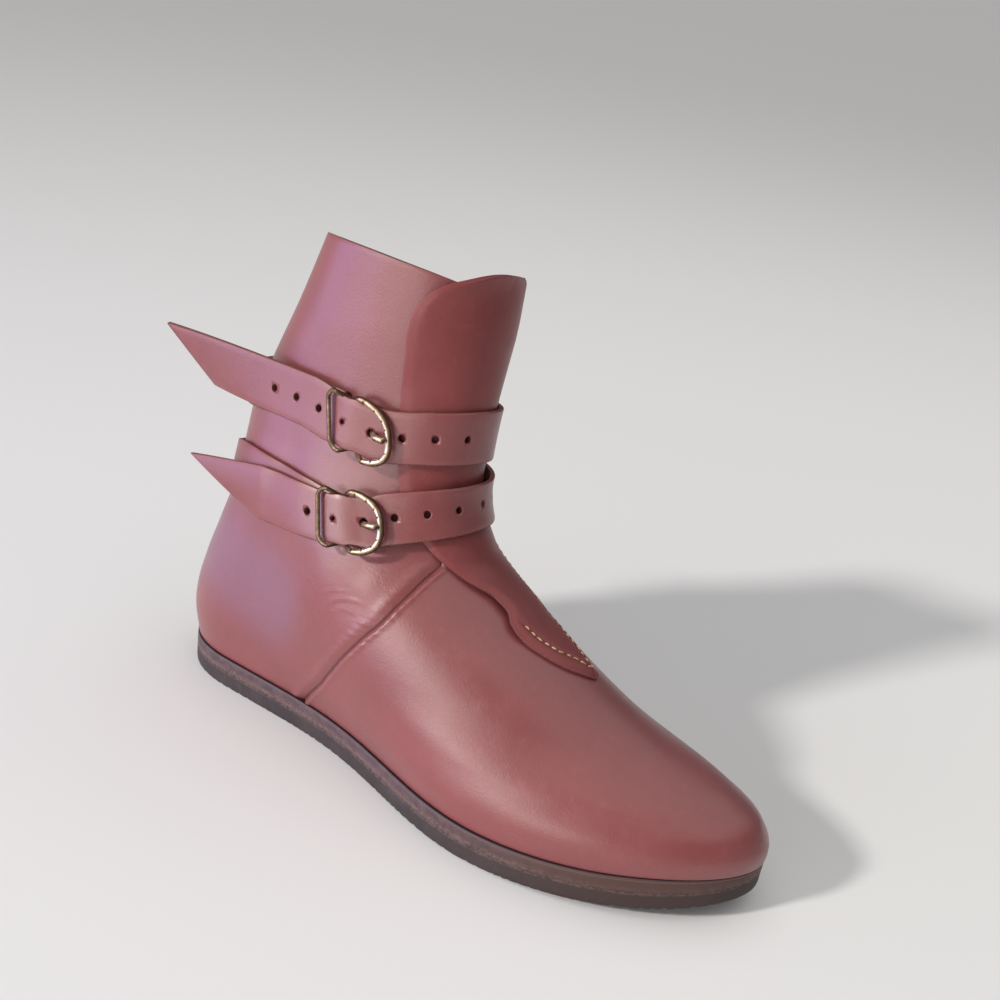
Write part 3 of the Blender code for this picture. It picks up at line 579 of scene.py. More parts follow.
# The front flap. One tongue-shaped piece of the same leather lies over the open throat: sewn down along
# its inner edge and round the point on the toe piece, and free along the outer edge and the top.
FLAP_LEATHER, FLAP_LIFT = 2.2, 0.9
FLAP = np.array([
    # level, turn of the free outer edge, turn of the sewn inner edge
    (3.84, 0.526, 0.542), (4.0, 0.497, 0.555), (4.08, 0.484, 0.561), (4.2, 0.469, 0.570),
    (4.3, 0.460, 0.577), (4.38, 0.4575, 0.582), (4.44, 0.460, 0.586), (4.55, 0.473, 0.592),
    (4.65, 0.471, 0.598), (4.79, 0.449, 0.606), (4.95, 0.429, 0.614), (5.16, 0.406, 0.623),
    (5.5, 0.387, 0.634), (6.1, 0.369, 0.645), (6.94, 0.353, 0.653), (7.28, 0.347, 0.656),
    (7.62, 0.3435, 0.658), (8.0, 0.3385, 0.660), (8.2, 0.340, 0.661), (8.36, 0.348, 0.662),
    (8.52, 0.365, 0.662), (8.62, 0.386, 0.654), (8.70, 0.4105, 0.640), (8.77, 0.434, 0.617),
    (8.82, 0.456, 0.588), (8.85, 0.480, 0.558), (8.862, 0.505, 0.535),
])
FLAP_STAND = np.array([
    # level, how far the free edge stands off
    (3.8, 0.0), (4.25, 0.0), (4.42, 1.4), (4.7, 0.8), (4.95, 0.0), (7.2, 0.0), (7.7, 1.6), (8.2, 2.6),
    (9.0, 2.6),
])
STAND_WIDTH = 26.0
FLAP_ROWS, FLAP_STEPS = 190, 70
STITCH_INSET, STITCH_PRESS, STITCH_PRESS_WIDTH = 5.2, 0.45, 1.3
SEWN_TOP, SEWN_FADE, FLAT_FADE, SEWN_LIFT = 4.47, 0.06, 0.15, 0.35  # where the outer edge is sewn flat
EDGE_THIN, EDGE_THIN_WIDTH, EDGE_RUB_WIDTH = 1.2, 2.4, 0.8
OUTER_LEG = np.array([
    # level and turn of the stitches from the point up the outer side
    (3.905, 0.5370), (3.96, 0.5285), (4.04, 0.5190), (4.125, 0.5075), (4.20, 0.4940), (4.275, 0.4860),
    (4.35, 0.4795), (4.43, 0.4735),
])

flap_rows = table_at(FLAP, np.linspace(0.0, len(FLAP) - 1.0, FLAP_ROWS))
flap_outer, flap_inner = flap_rows[:, 1:2], flap_rows[:, 2:3]
flap_turns = flap_outer + (flap_inner - flap_outer) * np.linspace(0.0, 1.0, FLAP_STEPS + 1)
flap_levels = flap_rows[:, 0:1] + 0.0 * flap_turns
flap_rate = round_rate(flap_levels, flap_turns)
from_outer, from_inner = (flap_turns - flap_outer) * flap_rate, (flap_inner - flap_turns) * flap_rate
from_leg = (flap_turns - curve_at(OUTER_LEG, flap_levels)[..., 0]) * flap_rate
pressed = np.maximum(
    bell(from_leg, STITCH_PRESS_WIDTH) * ramp(flap_levels, SEWN_TOP, SEWN_TOP - SEWN_FADE),
    bell(from_inner - STITCH_INSET, STITCH_PRESS_WIDTH),
)
sewn_flat = ease(ramp(flap_levels, SEWN_TOP, SEWN_TOP - FLAT_FADE))
stand = curve_at(FLAP_STAND, flap_levels)[..., 0] * ramp(from_outer, STAND_WIDTH, 0.0) ** 2
flap_lift = FLAP_LIFT + (SEWN_LIFT - FLAP_LIFT) * sewn_flat + stand
flap_edge = np.minimum(from_outer, from_inner)
flap_thickness = FLAP_LEATHER - EDGE_THIN * bell(flap_edge, EDGE_THIN_WIDTH) - STITCH_PRESS * pressed
flap_flesh = raised(flap_levels, flap_turns, flap_lift)
flap_grain = raised(flap_levels, flap_turns, flap_lift + flap_thickness)
# The pressed stitch lines take the sunk share, which darkens them a little as painted shade.
flap_marks = {"sunk": 0.35 * pressed, "rubbed": 0.6 * np.exp(-flap_edge / EDGE_RUB_WIDTH)}
flap_dye = grain_leather(
    "flap_grain", 0.35, (0.190, 0.040, 0.041), (0.222, 0.049, 0.050), (0.30, 0.092, 0.088),
)
flap_cut = cut_leather("flap_cut_edge", (0.105, 0.028, 0.028), (0.200, 0.066, 0.060))
flap = show_piece(
    "front_flap_sheet", leather_mesh("front_flap_sheet", flap_grain, flap_flesh, flap_marks),
    (flap_dye, upper_flesh, flap_cut), "flap_leather", "front_flap",
)
round_edges(flap, RUBBED_EDGE, RUBBED_STEPS)

# The flap's stitches. A waxed golden tan thread runs in short, slightly uneven stitches inside the flap's
# sewn edge: down the inner side from the top, round the point, and a short way up the outer side.
STITCH_LENGTH, STITCH_PITCH, STITCH_START, THREAD_RADIUS = 3.0, 3.5, 0.5, 0.42
STITCH_ARCH, STITCH_SINK, STITCH_DRIFT, STITCH_SKEW = 0.30, 0.12, 0.16, 0.10
STITCH_SHARE, STITCH_UNEVEN = 0.90, 0.14  # of its full length
THREAD_DEEP, THREAD_PALE = (0.40, 0.21, 0.11), (0.68, 0.43, 0.26)
STITCH_SIDES, STITCH_RINGS = 8, 7
INNER_LEG_TOP, INNER_LEG_FOOT = 8.42, 3.99


def at_lengths(places, length, values):
    """Points or normals of a line at distances along it."""
    return np.stack([np.interp(places, length, values[:, axis]) for axis in range(3)], axis=-1)


def thread_stitches(name, line, normals):
    """Short thread capsules laid along a line of points, each arched a little over the leather."""
    length = length_along(line)
    share = np.linspace(-1.0, 1.0, STITCH_RINGS)
    radii = THREAD_RADIUS * np.sqrt(np.maximum(1.0 - np.abs(share) ** 5, 0.02))
    angles = np.arange(STITCH_SIDES) * 2.0 * np.pi / STITCH_SIDES
    build = bmesh.new()
    for number, start in enumerate(np.arange(STITCH_START, length[-1] - STITCH_LENGTH, STITCH_PITCH)):
        own_length = STITCH_LENGTH * (STITCH_SHARE + STITCH_UNEVEN * np.sin(2.3 * number))
        places = start + np.linspace(0.0, own_length, STITCH_RINGS)
        over = at_lengths(places, length, normals)
        arch = STITCH_ARCH * (1.0 - share ** 2) - STITCH_SINK
        middle = at_lengths(places, length, line) + over * arch[:, None]
        run = middle[-1] - middle[0]
        run /= np.linalg.norm(run)
        side = np.cross(run, over[STITCH_RINGS // 2])
        side /= np.linalg.norm(side)
        up = np.cross(side, run)
        drift = STITCH_DRIFT * np.sin(1.7 * number) + STITCH_SKEW * share * np.cos(2.9 * number)
        rings = []
        for point, radius in zip(middle + side * drift[:, None], radii):
            ring = [point + radius * (side * np.cos(angle) + up * np.sin(angle)) for angle in angles]
            rings.append([build.verts.new(corner * MM) for corner in ring])
        for low, high in zip(rings[:-1], rings[1:]):
            for corner in range(STITCH_SIDES):
                after = (corner + 1) % STITCH_SIDES
                build.faces.new((low[corner], high[corner], high[after], low[after]))
        build.faces.new(rings[0])
        build.faces.new(rings[-1][::-1])
    bmesh.ops.recalc_face_normals(build, faces=build.faces)
    mesh = bpy.data.meshes.new(name)
    build.to_mesh(mesh)
    build.free()
    mesh.polygons.foreach_set("use_smooth", [True] * len(mesh.polygons))
    return mesh


def on_flap(level, turn):
    """Points on the flap's grain side."""
    row = np.interp(level, flap_rows[:, 0], np.arange(FLAP_ROWS))
    low = np.minimum(row.astype(int), FLAP_ROWS - 2)
    points = []
    for line in (low, low + 1):
        share = (turn - flap_rows[line, 1]) / (flap_rows[line, 2] - flap_rows[line, 1])
        step = np.clip(share, 0.0, 1.0) * FLAP_STEPS
        left = np.minimum(step.astype(int), FLAP_STEPS - 1)
        part = (step - left)[:, None]
        points.append(flap_grain[line, left] * (1.0 - part) + flap_grain[line, left + 1] * part)
    return points[0] + (points[1] - points[0]) * (row - low)[:, None]


thread = Finish("golden_tan_thread", 0.6)
thread_clouds = thread.between(thread.noise(1.2, 3.0), 0.35, 0.65)
thread.colour(thread.blend(thread_clouds, THREAD_DEEP, THREAD_PALE))
thread.bump(thread.noise(0.3, 2.0), 0.1, 0.6)
inner_leg = np.linspace(INNER_LEG_TOP, INNER_LEG_FOOT, 240)
outer_leg = np.linspace(OUTER_LEG[0, 0], OUTER_LEG[-1, 0], 60)
inner_edge = np.interp(inner_leg, FLAP[:, 0], FLAP[:, 2])
inner_leg_turns = inner_edge - STITCH_INSET / round_rate(inner_leg, inner_edge)
stitch_levels = np.concatenate([inner_leg, outer_leg])
stitch_turns = np.concatenate([inner_leg_turns, curve_at(OUTER_LEG, outer_leg)[:, 0]])
stitch_line = on_flap(stitch_levels, stitch_turns)
stitch_mesh = thread_stitches("flap_stitches", stitch_line, outward(stitch_levels, stitch_turns))
show_piece("flap_stitches", stitch_mesh, (thread.material,), "flap_leather")

# The insole. A flat sheet of undyed leather, cut to fit inside the upper, lies flesh side up on the midsole
# and closes the upper underneath. Its solid has all the shape it needs, so only its finish is set here.
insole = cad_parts["insole"]
insole_flesh = flesh_leather("insole_flesh", (0.140, 0.062, 0.046), (0.240, 0.120, 0.090))
insole.data.materials.clear()
insole.data.materials.append(insole_flesh)

# The midsole. A band of stiff dyed sole leather with a burnished edge, glued under the upper's turned-in
# margin. A fine tooled line runs below its top edge, and some pale glue dust is left along its foot.
SOLE_OUTLINE = dict(
    x_back=-145.8, x_front=145.8, heel_lateral=31.0, heel_medial=31.5, ball_lateral=52.0, ball_medial=45.7,
    heel_at=0.13, ball_at=0.66, back_power=2.3, front_power=1.9, waist_lateral=6.5, waist_medial=8.0,
)
SOLE_HALF, DROOP_LOW, DROOP_HIGH = 40.0, 4.0, 15.0  # half width for insets, heights of the tip's droop
BURNISH_DEEP, BURNISH_PALE, BAND_TOE = (0.068, 0.038, 0.043), (0.112, 0.068, 0.078), (0.078, 0.034, 0.023)
TOOLED_LINE, GLUE_DUST, PITTED = (0.22, 0.16, 0.17), (0.165, 0.098, 0.088), (0.045, 0.026, 0.026)
# Painted shade for the thin dark gap between the midsole's top and the upper.
SOLE_JOIN_PAINTED_SHADE = (0.018, 0.010, 0.012)
BROWN_FROM, BROWN_TO = 10.0, 110.0  # the sole's edge turns browner between these places, towards the toe
MIDSOLE_COLUMNS = 320
MIDSOLE_RINGS = np.array([
    # height and inset of each ring of the edge
    (8.3, 0.12), (8.5, 0.06), (9.2, 0.03), (10.5, 0.0), (12.4, 0.0), (13.2, 0.02), (13.45, 0.12),
    (13.7, 0.02), (14.4, 0.03), (14.8, 0.20), (15.0, 0.60),
])


def sole_ring(height, inset, turn):
    """A ring of the sole's edge at this height before the toe spring, drawn in by an inset."""
    row = dict(SOLE_OUTLINE)
    row["x_back"] += np.min(inset)
    row["x_front"] -= np.min(inset)
    x, y, _ = flat_loop(row, turn)
    y = toe_swing(x) + (y - toe_swing(x)) * (1.0 - inset / SOLE_HALF)
    droop = toe_droop(x) * ramp(height, DROOP_LOW, DROOP_HIGH)
    return np.stack([x, y, height + toe_lift(x) - droop], axis=-1)


def sole_mesh(name, rings, heights):
    """A sole layer from rings of its edge, closed under and over by strips from side to side."""
    count = rings[0].shape[0]
    points = np.concatenate(rings)
    faces = []
    for ring in range(len(rings) - 1):
        low, high = ring * count, (ring + 1) * count
        for column in range(count):
            after = (column + 1) % count
            faces.append((low + column, low + after, high + after, high + column))
    side_faces = len(faces)
    top = (len(rings) - 1) * count
    for column in range(count // 2):
        strip = [column, column + 1, (count - column - 1) % count, (count - column) % count]
        strip = list(dict.fromkeys(strip))
        faces += [tuple(reversed(strip)), tuple(top + corner for corner in strip)]
    smooth = [face < side_faces for face in range(len(faces))]
    mesh = face_mesh(name, points, faces, [0] * len(faces), smooth)
    add_mark(mesh, "height", np.repeat(heights, count))
    add_mark(mesh, "forward", points[:, 0])
    return mesh


midsole_turn = np.arange(MIDSOLE_COLUMNS) / MIDSOLE_COLUMNS
midsole_rings = [sole_ring(height, inset, midsole_turn) for height, inset in MIDSOLE_RINGS]
burnish = Finish("midsole_burnish", 0.6)
band_height, band_forward = burnish.mark("height"), burnish.mark("forward")
band_clouds = burnish.between(burnish.noise(4.0, 5.0, 0.65), 0.35, 0.68)
burnish_dye = burnish.blend(band_clouds, BURNISH_DEEP, BURNISH_PALE)
brown_toe = burnish.between(band_forward, BROWN_FROM, BROWN_TO, 0.0, 0.85)
burnish_dye = burnish.blend(brown_toe, burnish_dye, BAND_TOE)
under_line, over_line = burnish.between(band_height, 13.45, 13.7), burnish.between(band_height, 14.4, 14.1)
pale_line = burnish.times(under_line, over_line)
burnish_dye = burnish.stain(burnish_dye, pale_line, 0.22, TOOLED_LINE)
dust_clouds = burnish.between(burnish.noise(1.7, 6.0, 0.8), 0.42, 0.56)
dust = burnish.times(burnish.between(band_height, 11.9, 9.6), dust_clouds)
dust = burnish.times(dust, burnish.between(band_forward, 20.0, 120.0, 1.0, 0.35))
burnish_dye = burnish.stain(burnish_dye, dust, 0.85, GLUE_DUST)
pit_clouds = burnish.between(burnish.noise(1.1, 5.0, 0.8), 0.56, 0.64)
pits = burnish.times(burnish.between(band_height, 11.9, 9.8), pit_clouds)
burnish_dye = burnish.stain(burnish_dye, pits, 0.7, PITTED)
# The top rim is darkened as painted shade of the gap under the upper's margin.
burnish.colour(burnish.blend(burnish.between(band_height, 14.7, 15.0), burnish_dye, SOLE_JOIN_PAINTED_SHADE))
burnish.bump(burnish.sum((burnish.noise(1.2, 4.0, 0.7), 0.6), (burnish.noise(6.0, 3.0), 0.6)), 0.25, 0.6)
burnish.gloss(burnish.between(burnish.noise(4.0, 4.0), 0.3, 0.7, 0.48, 0.70))
midsole_mesh = sole_mesh("midsole_band", midsole_rings, MIDSOLE_RINGS[:, 0])
show_piece("midsole_band", midsole_mesh, (burnish.material,), "midsole_leather", "midsole")

# The outsole. A flat sheet of dark rubber with fine ribs across its under side, which show as small, worn
# scallops along its lower edge. It is ground flush with the midsole and scuffed along its upper edge.
OUTSOLE_COLUMNS = 1280
RIB_PITCH, RIB_DEPTH, RIB_INSET = 4.3, 0.42, 0.6
RUBBER_DEEP, RUBBER_PALE, RUBBER_TOE = (0.034, 0.024, 0.026), (0.052, 0.037, 0.040), (0.046, 0.025, 0.021)
SCUFFED, WORN_EDGE = (0.19, 0.125, 0.100), (0.140, 0.085, 0.075)
OUTSOLE_RINGS = np.array([
    # height, inset and share of the rib in each ring of the edge
    (0.0, 0.75, 1.0), (0.3, 0.45, 0.9), (0.9, 0.22, 0.3), (1.8, 0.12, 0.0), (4.2, 0.08, 0.0),
    (6.6, 0.06, 0.0), (7.8, 0.06, 0.0), (8.05, 0.08, 0.0), (8.2, 0.14, 0.0),
])
outsole_turn = np.arange(OUTSOLE_COLUMNS) / OUTSOLE_COLUMNS
outsole_rings = []
for height, inset, rib in OUTSOLE_RINGS:
    # the ribs stand a little unevenly and are worn down in places
    x = sole_ring(height, inset, outsole_turn)[:, 0]
    uneven = x + 1.6 * np.sin(x / 11.0) + 0.9 * np.sin(x / 4.7)
    worn = 0.45 + 0.55 * np.sin(x / 6.1 + 1.0) * np.sin(x / 3.7)
    wave = RIB_DEPTH * rib * worn * (0.5 - 0.5 * np.cos(2.0 * np.pi * uneven / RIB_PITCH)) ** 3
    outsole_rings.append(sole_ring(height + wave, inset + RIB_INSET * wave, outsole_turn))
rubber = Finish("ribbed_rubber", 0.7)
rubber_clouds = rubber.between(rubber.noise(14.0, 4.0, 0.6), 0.35, 0.68)
rubber_dye = rubber.blend(rubber_clouds, RUBBER_DEEP, RUBBER_PALE)
brown_end = rubber.between(rubber.mark("forward"), BROWN_FROM, BROWN_TO, 0.0, 0.8)
rubber_dye = rubber.blend(brown_end, rubber_dye, RUBBER_TOE)
scuff_patches = rubber.between(rubber.noise(26.0, 3.0), 0.50, 0.62)
scuff = rubber.times(rubber.between(rubber.noise(1.6, 5.0, 0.75), 0.60, 0.68), scuff_patches)
rubber_dye = rubber.stain(rubber_dye, scuff, 0.4, SCUFFED)
wear_clouds = rubber.between(rubber.noise(1.7, 6.0, 0.8), 0.42, 0.56)
worn_top = rubber.times(rubber.between(rubber.mark("height"), 6.2, 8.0), wear_clouds)
rubber.colour(rubber.stain(rubber_dye, worn_top, 0.7, WORN_EDGE))
rubber.bump(rubber.sum((rubber.noise(0.8, 4.0, 0.7), 0.5), (rubber.noise(3.4, 3.0), 0.5)), 0.14, 0.6)
outsole_mesh = sole_mesh("outsole_rubber", outsole_rings, OUTSOLE_RINGS[:, 0])
show_piece("outsole_rubber", outsole_mesh, (rubber.material,), "sole_rubber", "outsole")

# The straps. Each is a long belt cut from the same leather, sewn to its buckle on the outer side and
# wrapped back round the heel, the inner side and the front, then through the buckle to a free end that
# is cut to a slanting point. A row of round holes is punched along the outer end.
STRAP_LEATHER, STRAP_WIDTH = 2.2, 22.0
UPPER_STRAP = np.array([
    # turn, level, lift, width, lean of its upper edge
    (0.278, 6.615, 0.50, 22.0, 0.0), (0.250, 6.66, 0.50, 22.0, 0.0), (0.200, 6.72, 0.50, 22.0, 0.0),
    (0.100, 6.62, 0.65, 22.0, 0.0), (0.000, 6.52, 0.70, 22.0, 0.0), (-0.100, 6.54, 0.65, 22.0, 0.0),
    (-0.290, 6.66, 0.55, 22.0, 0.0), (-0.330, 6.68, 3.75, 22.0, 0.0), (-0.500, 6.70, 3.75, 22.0, 0.0),
    (-0.600, 6.62, 3.75, 22.0, 0.0), (-0.640, 6.55, 3.50, 22.0, 0.0), (-0.662, 6.524, 3.30, 22.0, 0.0),
    (-0.6725, 6.538, 3.30, 21.6, 0.0), (-0.680, 6.548, 3.45, 20.6, 0.0), (-0.6885, 6.56, 3.80, 20.2, 0.0),
    (-0.700, 6.575, 4.05, 21.4, 0.0), (-0.7115, 6.59, 3.80, 20.4, 0.0), (-0.720, 6.602, 3.45, 20.8, 0.0),
    (-0.729, 6.618, 3.25, 21.6, 0.0), (-0.749, 6.68, 3.20, 22.0, 0.0), (-0.765, 6.72, 3.20, 22.0, 0.0),
])
LOWER_STRAP = np.array([
    # turn, level, lift, width, lean of its upper edge
    (0.290, 5.20, 0.55, 22.0, 0.0), (0.250, 5.24, 0.60, 22.0, 0.0), (0.168, 5.25, 0.65, 22.0, 0.0),
    (0.130, 5.215, 0.65, 22.0, 0.0), (0.083, 5.07, 0.65, 22.0, 0.0), (0.040, 4.93, 0.70, 22.0, 0.0),
    (0.000, 4.87, 0.70, 22.0, 0.0), (-0.060, 4.89, 0.70, 22.0, 0.0), (-0.120, 5.02, 0.70, 22.0, 0.0),
    (-0.200, 5.30, 0.70, 22.0, 0.0), (-0.280, 5.58, 0.70, 22.0, 0.5), (-0.325, 5.65, 3.70, 22.0, 1.0),
    (-0.420, 5.68, 3.80, 22.0, 1.8), (-0.500, 5.67, 3.80, 22.0, 2.0), (-0.548, 5.625, 3.80, 22.0, 1.8),
    (-0.592, 5.545, 3.80, 22.0, 1.0), (-0.630, 5.445, 3.50, 22.0, 0.3), (-0.648, 5.38, 3.40, 22.0, 0.0),
    (-0.662, 5.308, 3.30, 22.0, 0.0), (-0.6715, 5.287, 3.30, 21.6, 0.0), (-0.6785, 5.272, 3.45, 20.6, 0.0),
    (-0.687, 5.254, 3.80, 20.2, 0.0), (-0.698, 5.23, 4.05, 21.4, 0.0), (-0.709, 5.206, 3.80, 20.4, 0.0),
    (-0.7175, 5.19, 3.45, 20.8, 0.0), (-0.726, 5.18, 3.25, 21.6, 0.0), (-0.740, 5.17, 3.20, 22.0, 0.0),
    (-0.757, 5.155, 3.20, 22.0, 0.0), (-0.800, 5.10, 3.40, 22.0, 0.0), (-0.815, 5.075, 3.70, 22.0, 0.0),
])
UPPER_TAIL = (89.0, 32.0, 3.0, -1.5, -21.0)  # a free end's length, slant, yaw, pitch, twist
LOWER_TAIL = (44.3, 39.5, 4.0, -12.5, -11.0)
HOLE_RADIUS, CLOSED_HOLE_RADIUS, PIN_HOLE_RADIUS, HOLE_STEP = 1.6, 1.1, 1.75, 13.0
HOLE_SIDES, PUNCH_LENGTH = 24, 5.0
UPPER_HOLES, LOWER_HOLES = (-3, 4), (-5, 2)  # first and last hole, counted from the pin towards the point
UPPER_BUCKLE = (6.575, 0.300, -6.0, 18.0)  # its bar's level and turn, and the frame's tilt and skew
LOWER_BUCKLE = (5.23, 0.302, 8.0, 12.0)
BUCKLE_REACH = 0.01  # turn to each side of the bar, from which the buckle's run is taken
PIN_HOLE_AT, STRAP_OVER_BAR = 10.0, 4.0
STRAP_ROWS, TAIL_ROWS, STRAP_ACROSS = 260, 40, 9
EDGE_ROUND, CORNER_CUT, STRAP_RUB_WIDTH = 0.45, 0.12, 1.2
WALL_STEP = 0.1


def strap_profile():
    """Corners of a strap's section: across the strap, height over its under face, and finish slot."""
    half, thick, soft, cut = STRAP_WIDTH / 2.0, STRAP_LEATHER, EDGE_ROUND, CORNER_CUT
    top = [(across, thick, GRAIN) for across in np.linspace(half - soft, soft - half, STRAP_ACROSS)]
    left = [(-half + cut, thick - cut, CUT), (-half, thick - soft, CUT), (-half, soft, CUT)]
    under = [(across, 0.0, FLESH) for across in np.linspace(soft - half, half - soft, STRAP_ACROSS)]
    right = [(half - cut, cut, CUT), (half, soft, CUT), (half, thick - soft, CUT)]
    return top + left + [(-half + cut, cut, FLESH)] + under + right + [(half - cut, thick - cut, GRAIN)]


def strap_place(table, turn):
    """Level, lift, width and lean of a strap at a turn, from its table."""
    falling = table * np.array((-1.0, 1.0, 1.0, 1.0, 1.0))
    return np.moveaxis(curve_at(falling, -np.asarray(turn, float)), -1, 0)


def wall_rate(level, turn):
    """Millimetres of wall to one level."""
    level = np.clip(level, WALL_STEP, COLLAR_LEVEL - WALL_STEP)
    up_wall = skin(level + WALL_STEP, turn) - skin(level - WALL_STEP, turn)
    return np.linalg.norm(up_wall, axis=-1) / (2.0 * WALL_STEP)


def strap_rows(table, tail, across, height):
    """Points of a strap at places across it and heights over its under face, along its whole length."""
    turn = np.linspace(table[0, 0], table[-1, 0], STRAP_ROWS)[:, None]
    level, lift, width, lean = strap_place(table, turn)
    share = across[None, :] / STRAP_WIDTH
    levels_across = level + share * width / wall_rate(level, turn)
    rows = raised(levels_across, turn + 0.0 * levels_across, lift + lean * (share + 0.5) + height[None, :])
    middle = raised(level[-1], turn[-1], lift[-1] + 0.5 * lean[-1])
    length, slant, yaw, pitch, twist = tail
    flat = np.cos(np.radians(pitch))
    leaving = np.array((
        -flat * np.cos(np.radians(yaw)), flat * np.sin(np.radians(yaw)), np.sin(np.radians(pitch)),
    ))
    reach_out = length - slant * (0.5 - across / STRAP_WIDTH)
    ends = []
    for part in np.arange(1, TAIL_ROWS + 1) / TAIL_ROWS:
        roll = np.array(Matrix.Rotation(np.radians(twist * part ** 2), 3, Vector(leaving)))
        ends.append(middle + (rows[-1] - middle) @ roll.T + leaving * (reach_out * part)[:, None])
    return np.concatenate([rows, np.array(ends)])


def face_outward(mesh):
    """Turn the faces of a closed mesh to its outside."""
    build = bmesh.new()
    build.from_mesh(mesh)
    bmesh.ops.recalc_face_normals(build, faces=build.faces)
    build.to_mesh(mesh)
    build.free()


def strap_mesh(name, table, tail):
    """A belt through rows of its section, closed at both ends."""
    profile = strap_profile()
    across = np.array([corner[0] for corner in profile])
    height = np.array([corner[1] for corner in profile])
    points = strap_rows(table, tail, across, height)
    rows, count = points.shape[:2]
    faces, slots = [], []
    for row in range(rows - 1):
        low, high = row * count, (row + 1) * count
        for corner in range(count):
            after = (corner + 1) % count
            faces.append((low + corner, high + corner, high + after, low + after))
            slots.append(profile[corner][2] if profile[corner][2] == profile[after][2] else CUT)
    last = (rows - 1) * count
    faces += [tuple(range(count)), tuple(last + corner for corner in reversed(range(count)))]
    slots += [CUT, CUT]
    mesh = face_mesh(name, points, faces, slots, [True] * (len(faces) - 2) + [False, False])
    edge = np.clip(1.0 - (STRAP_WIDTH / 2.0 - np.abs(across)) / STRAP_RUB_WIDTH, 0.0, 1.0)
    add_mark(mesh, "rubbed", np.tile(0.6 * edge, rows))
    add_mark(mesh, "sunk", np.zeros(rows * count))
    face_outward(mesh)
    return mesh


def axes_matrix(origin, along, over):
    """Frame in metres at a point, with X along a run and Z away from the leg."""
    over = over / np.linalg.norm(over)
    along = along - over * float(np.dot(along, over))
    along = along / np.linalg.norm(along)
    side = np.cross(over, along)
    matrix = Matrix.Identity(4)
    for axis in range(3):
        matrix[axis] = (along[axis], side[axis], over[axis], origin[axis] * MM)
    return matrix


def buckle_frame(level, turn, tilt):
    """Frame at a buckle's bar, with X to the front along the buckle and Y up."""
    forward = skin(level, turn + BUCKLE_REACH) - skin(level, turn - BUCKLE_REACH)
    flat_frame = axes_matrix(skin(level, turn), forward, outward(level, turn))
    return flat_frame @ Matrix.Rotation(np.radians(tilt), 4, "Z")


def hole_punches(name, table, tail, pin_point, holes):
    """Cutters for a strap's holes, a step apart from the pin's hole on."""
    rows = strap_rows(table, tail, np.array((-1.0, 0.0, 1.0)), np.zeros(3))
    middle = rows[:, 1]
    length = length_along(middle)
    half_way = STRAP_ROWS // 2
    nearest = half_way + np.argmin(np.linalg.norm(middle[half_way:] - pin_point, axis=1))
    build = bmesh.new()
    for step in range(holes[0], holes[1] + 1):
        place = length[nearest] + HOLE_STEP * step
        row = int(np.clip(np.searchsorted(length, place), 1, len(rows) - 1))
        share = (place - length[row - 1]) / (length[row] - length[row - 1])
        origin = middle[row - 1] + (middle[row] - middle[row - 1]) * share
        run = middle[row] - middle[row - 1]
        over = np.cross(rows[row, 2] - rows[row, 0], run)
        radius = {0: PIN_HOLE_RADIUS, 1: CLOSED_HOLE_RADIUS}.get(step, HOLE_RADIUS) * MM
        bmesh.ops.create_cone(
            build, cap_ends=True, segments=HOLE_SIDES, radius1=radius, radius2=radius,
            depth=PUNCH_LENGTH * MM,
            matrix=axes_matrix(origin, run, over) @ Matrix.Translation((0.0, 0.0, STRAP_LEATHER / 2.0 * MM)),
        )
    mesh = bpy.data.meshes.new(name)
    build.to_mesh(mesh)
    build.free()
    mesh.polygons.foreach_set("material_index", [CUT] * len(mesh.polygons))
    return mesh


def punch_holes(piece, mesh):
    """Cut the holes out of a strap and keep the result as its mesh."""
    punches = bpy.data.objects.new(mesh.name, mesh)
    bpy.context.scene.collection.objects.link(punches)
    cut = piece.modifiers.new("holes", "BOOLEAN")
    cut.operation = "DIFFERENCE"
    cut.solver = "EXACT"
    cut.object = punches
    bpy.context.view_layer.update()
    done = bpy.data.meshes.new_from_object(piece.evaluated_get(bpy.context.evaluated_depsgraph_get()))
    piece.modifiers.remove(cut)
    piece.data = done
    bpy.data.objects.remove(punches, do_unlink=True)


strap_dye = grain_leather(
    "strap_grain", 0.85, (0.190, 0.040, 0.042), (0.222, 0.050, 0.051), (0.31, 0.100, 0.094),
)
strap_cut = cut_leather("strap_cut_edge", (0.120, 0.038, 0.036), (0.250, 0.100, 0.085))
buckle_places = {}
for name, table, tail, holes, (level, turn, tilt, skew) in (
    ("upper", UPPER_STRAP, UPPER_TAIL, UPPER_HOLES, UPPER_BUCKLE),
    ("lower", LOWER_STRAP, LOWER_TAIL, LOWER_HOLES, LOWER_BUCKLE),
):
    place = buckle_frame(level, turn, tilt)
    buckle_places[name] = place, np.tan(np.radians(skew))
    belt = show_piece(
        "strap_" + name + "_belt", strap_mesh("strap_" + name + "_belt", table, tail),
        (strap_dye, upper_flesh, strap_cut), "strap_leather", "strap_" + name,
    )
    pin_point = np.array(place @ Vector((PIN_HOLE_AT * MM, 0.0, STRAP_OVER_BAR * MM))) / MM
    punch_holes(belt, hole_punches("holes_" + name, table, tail, pin_point, holes))

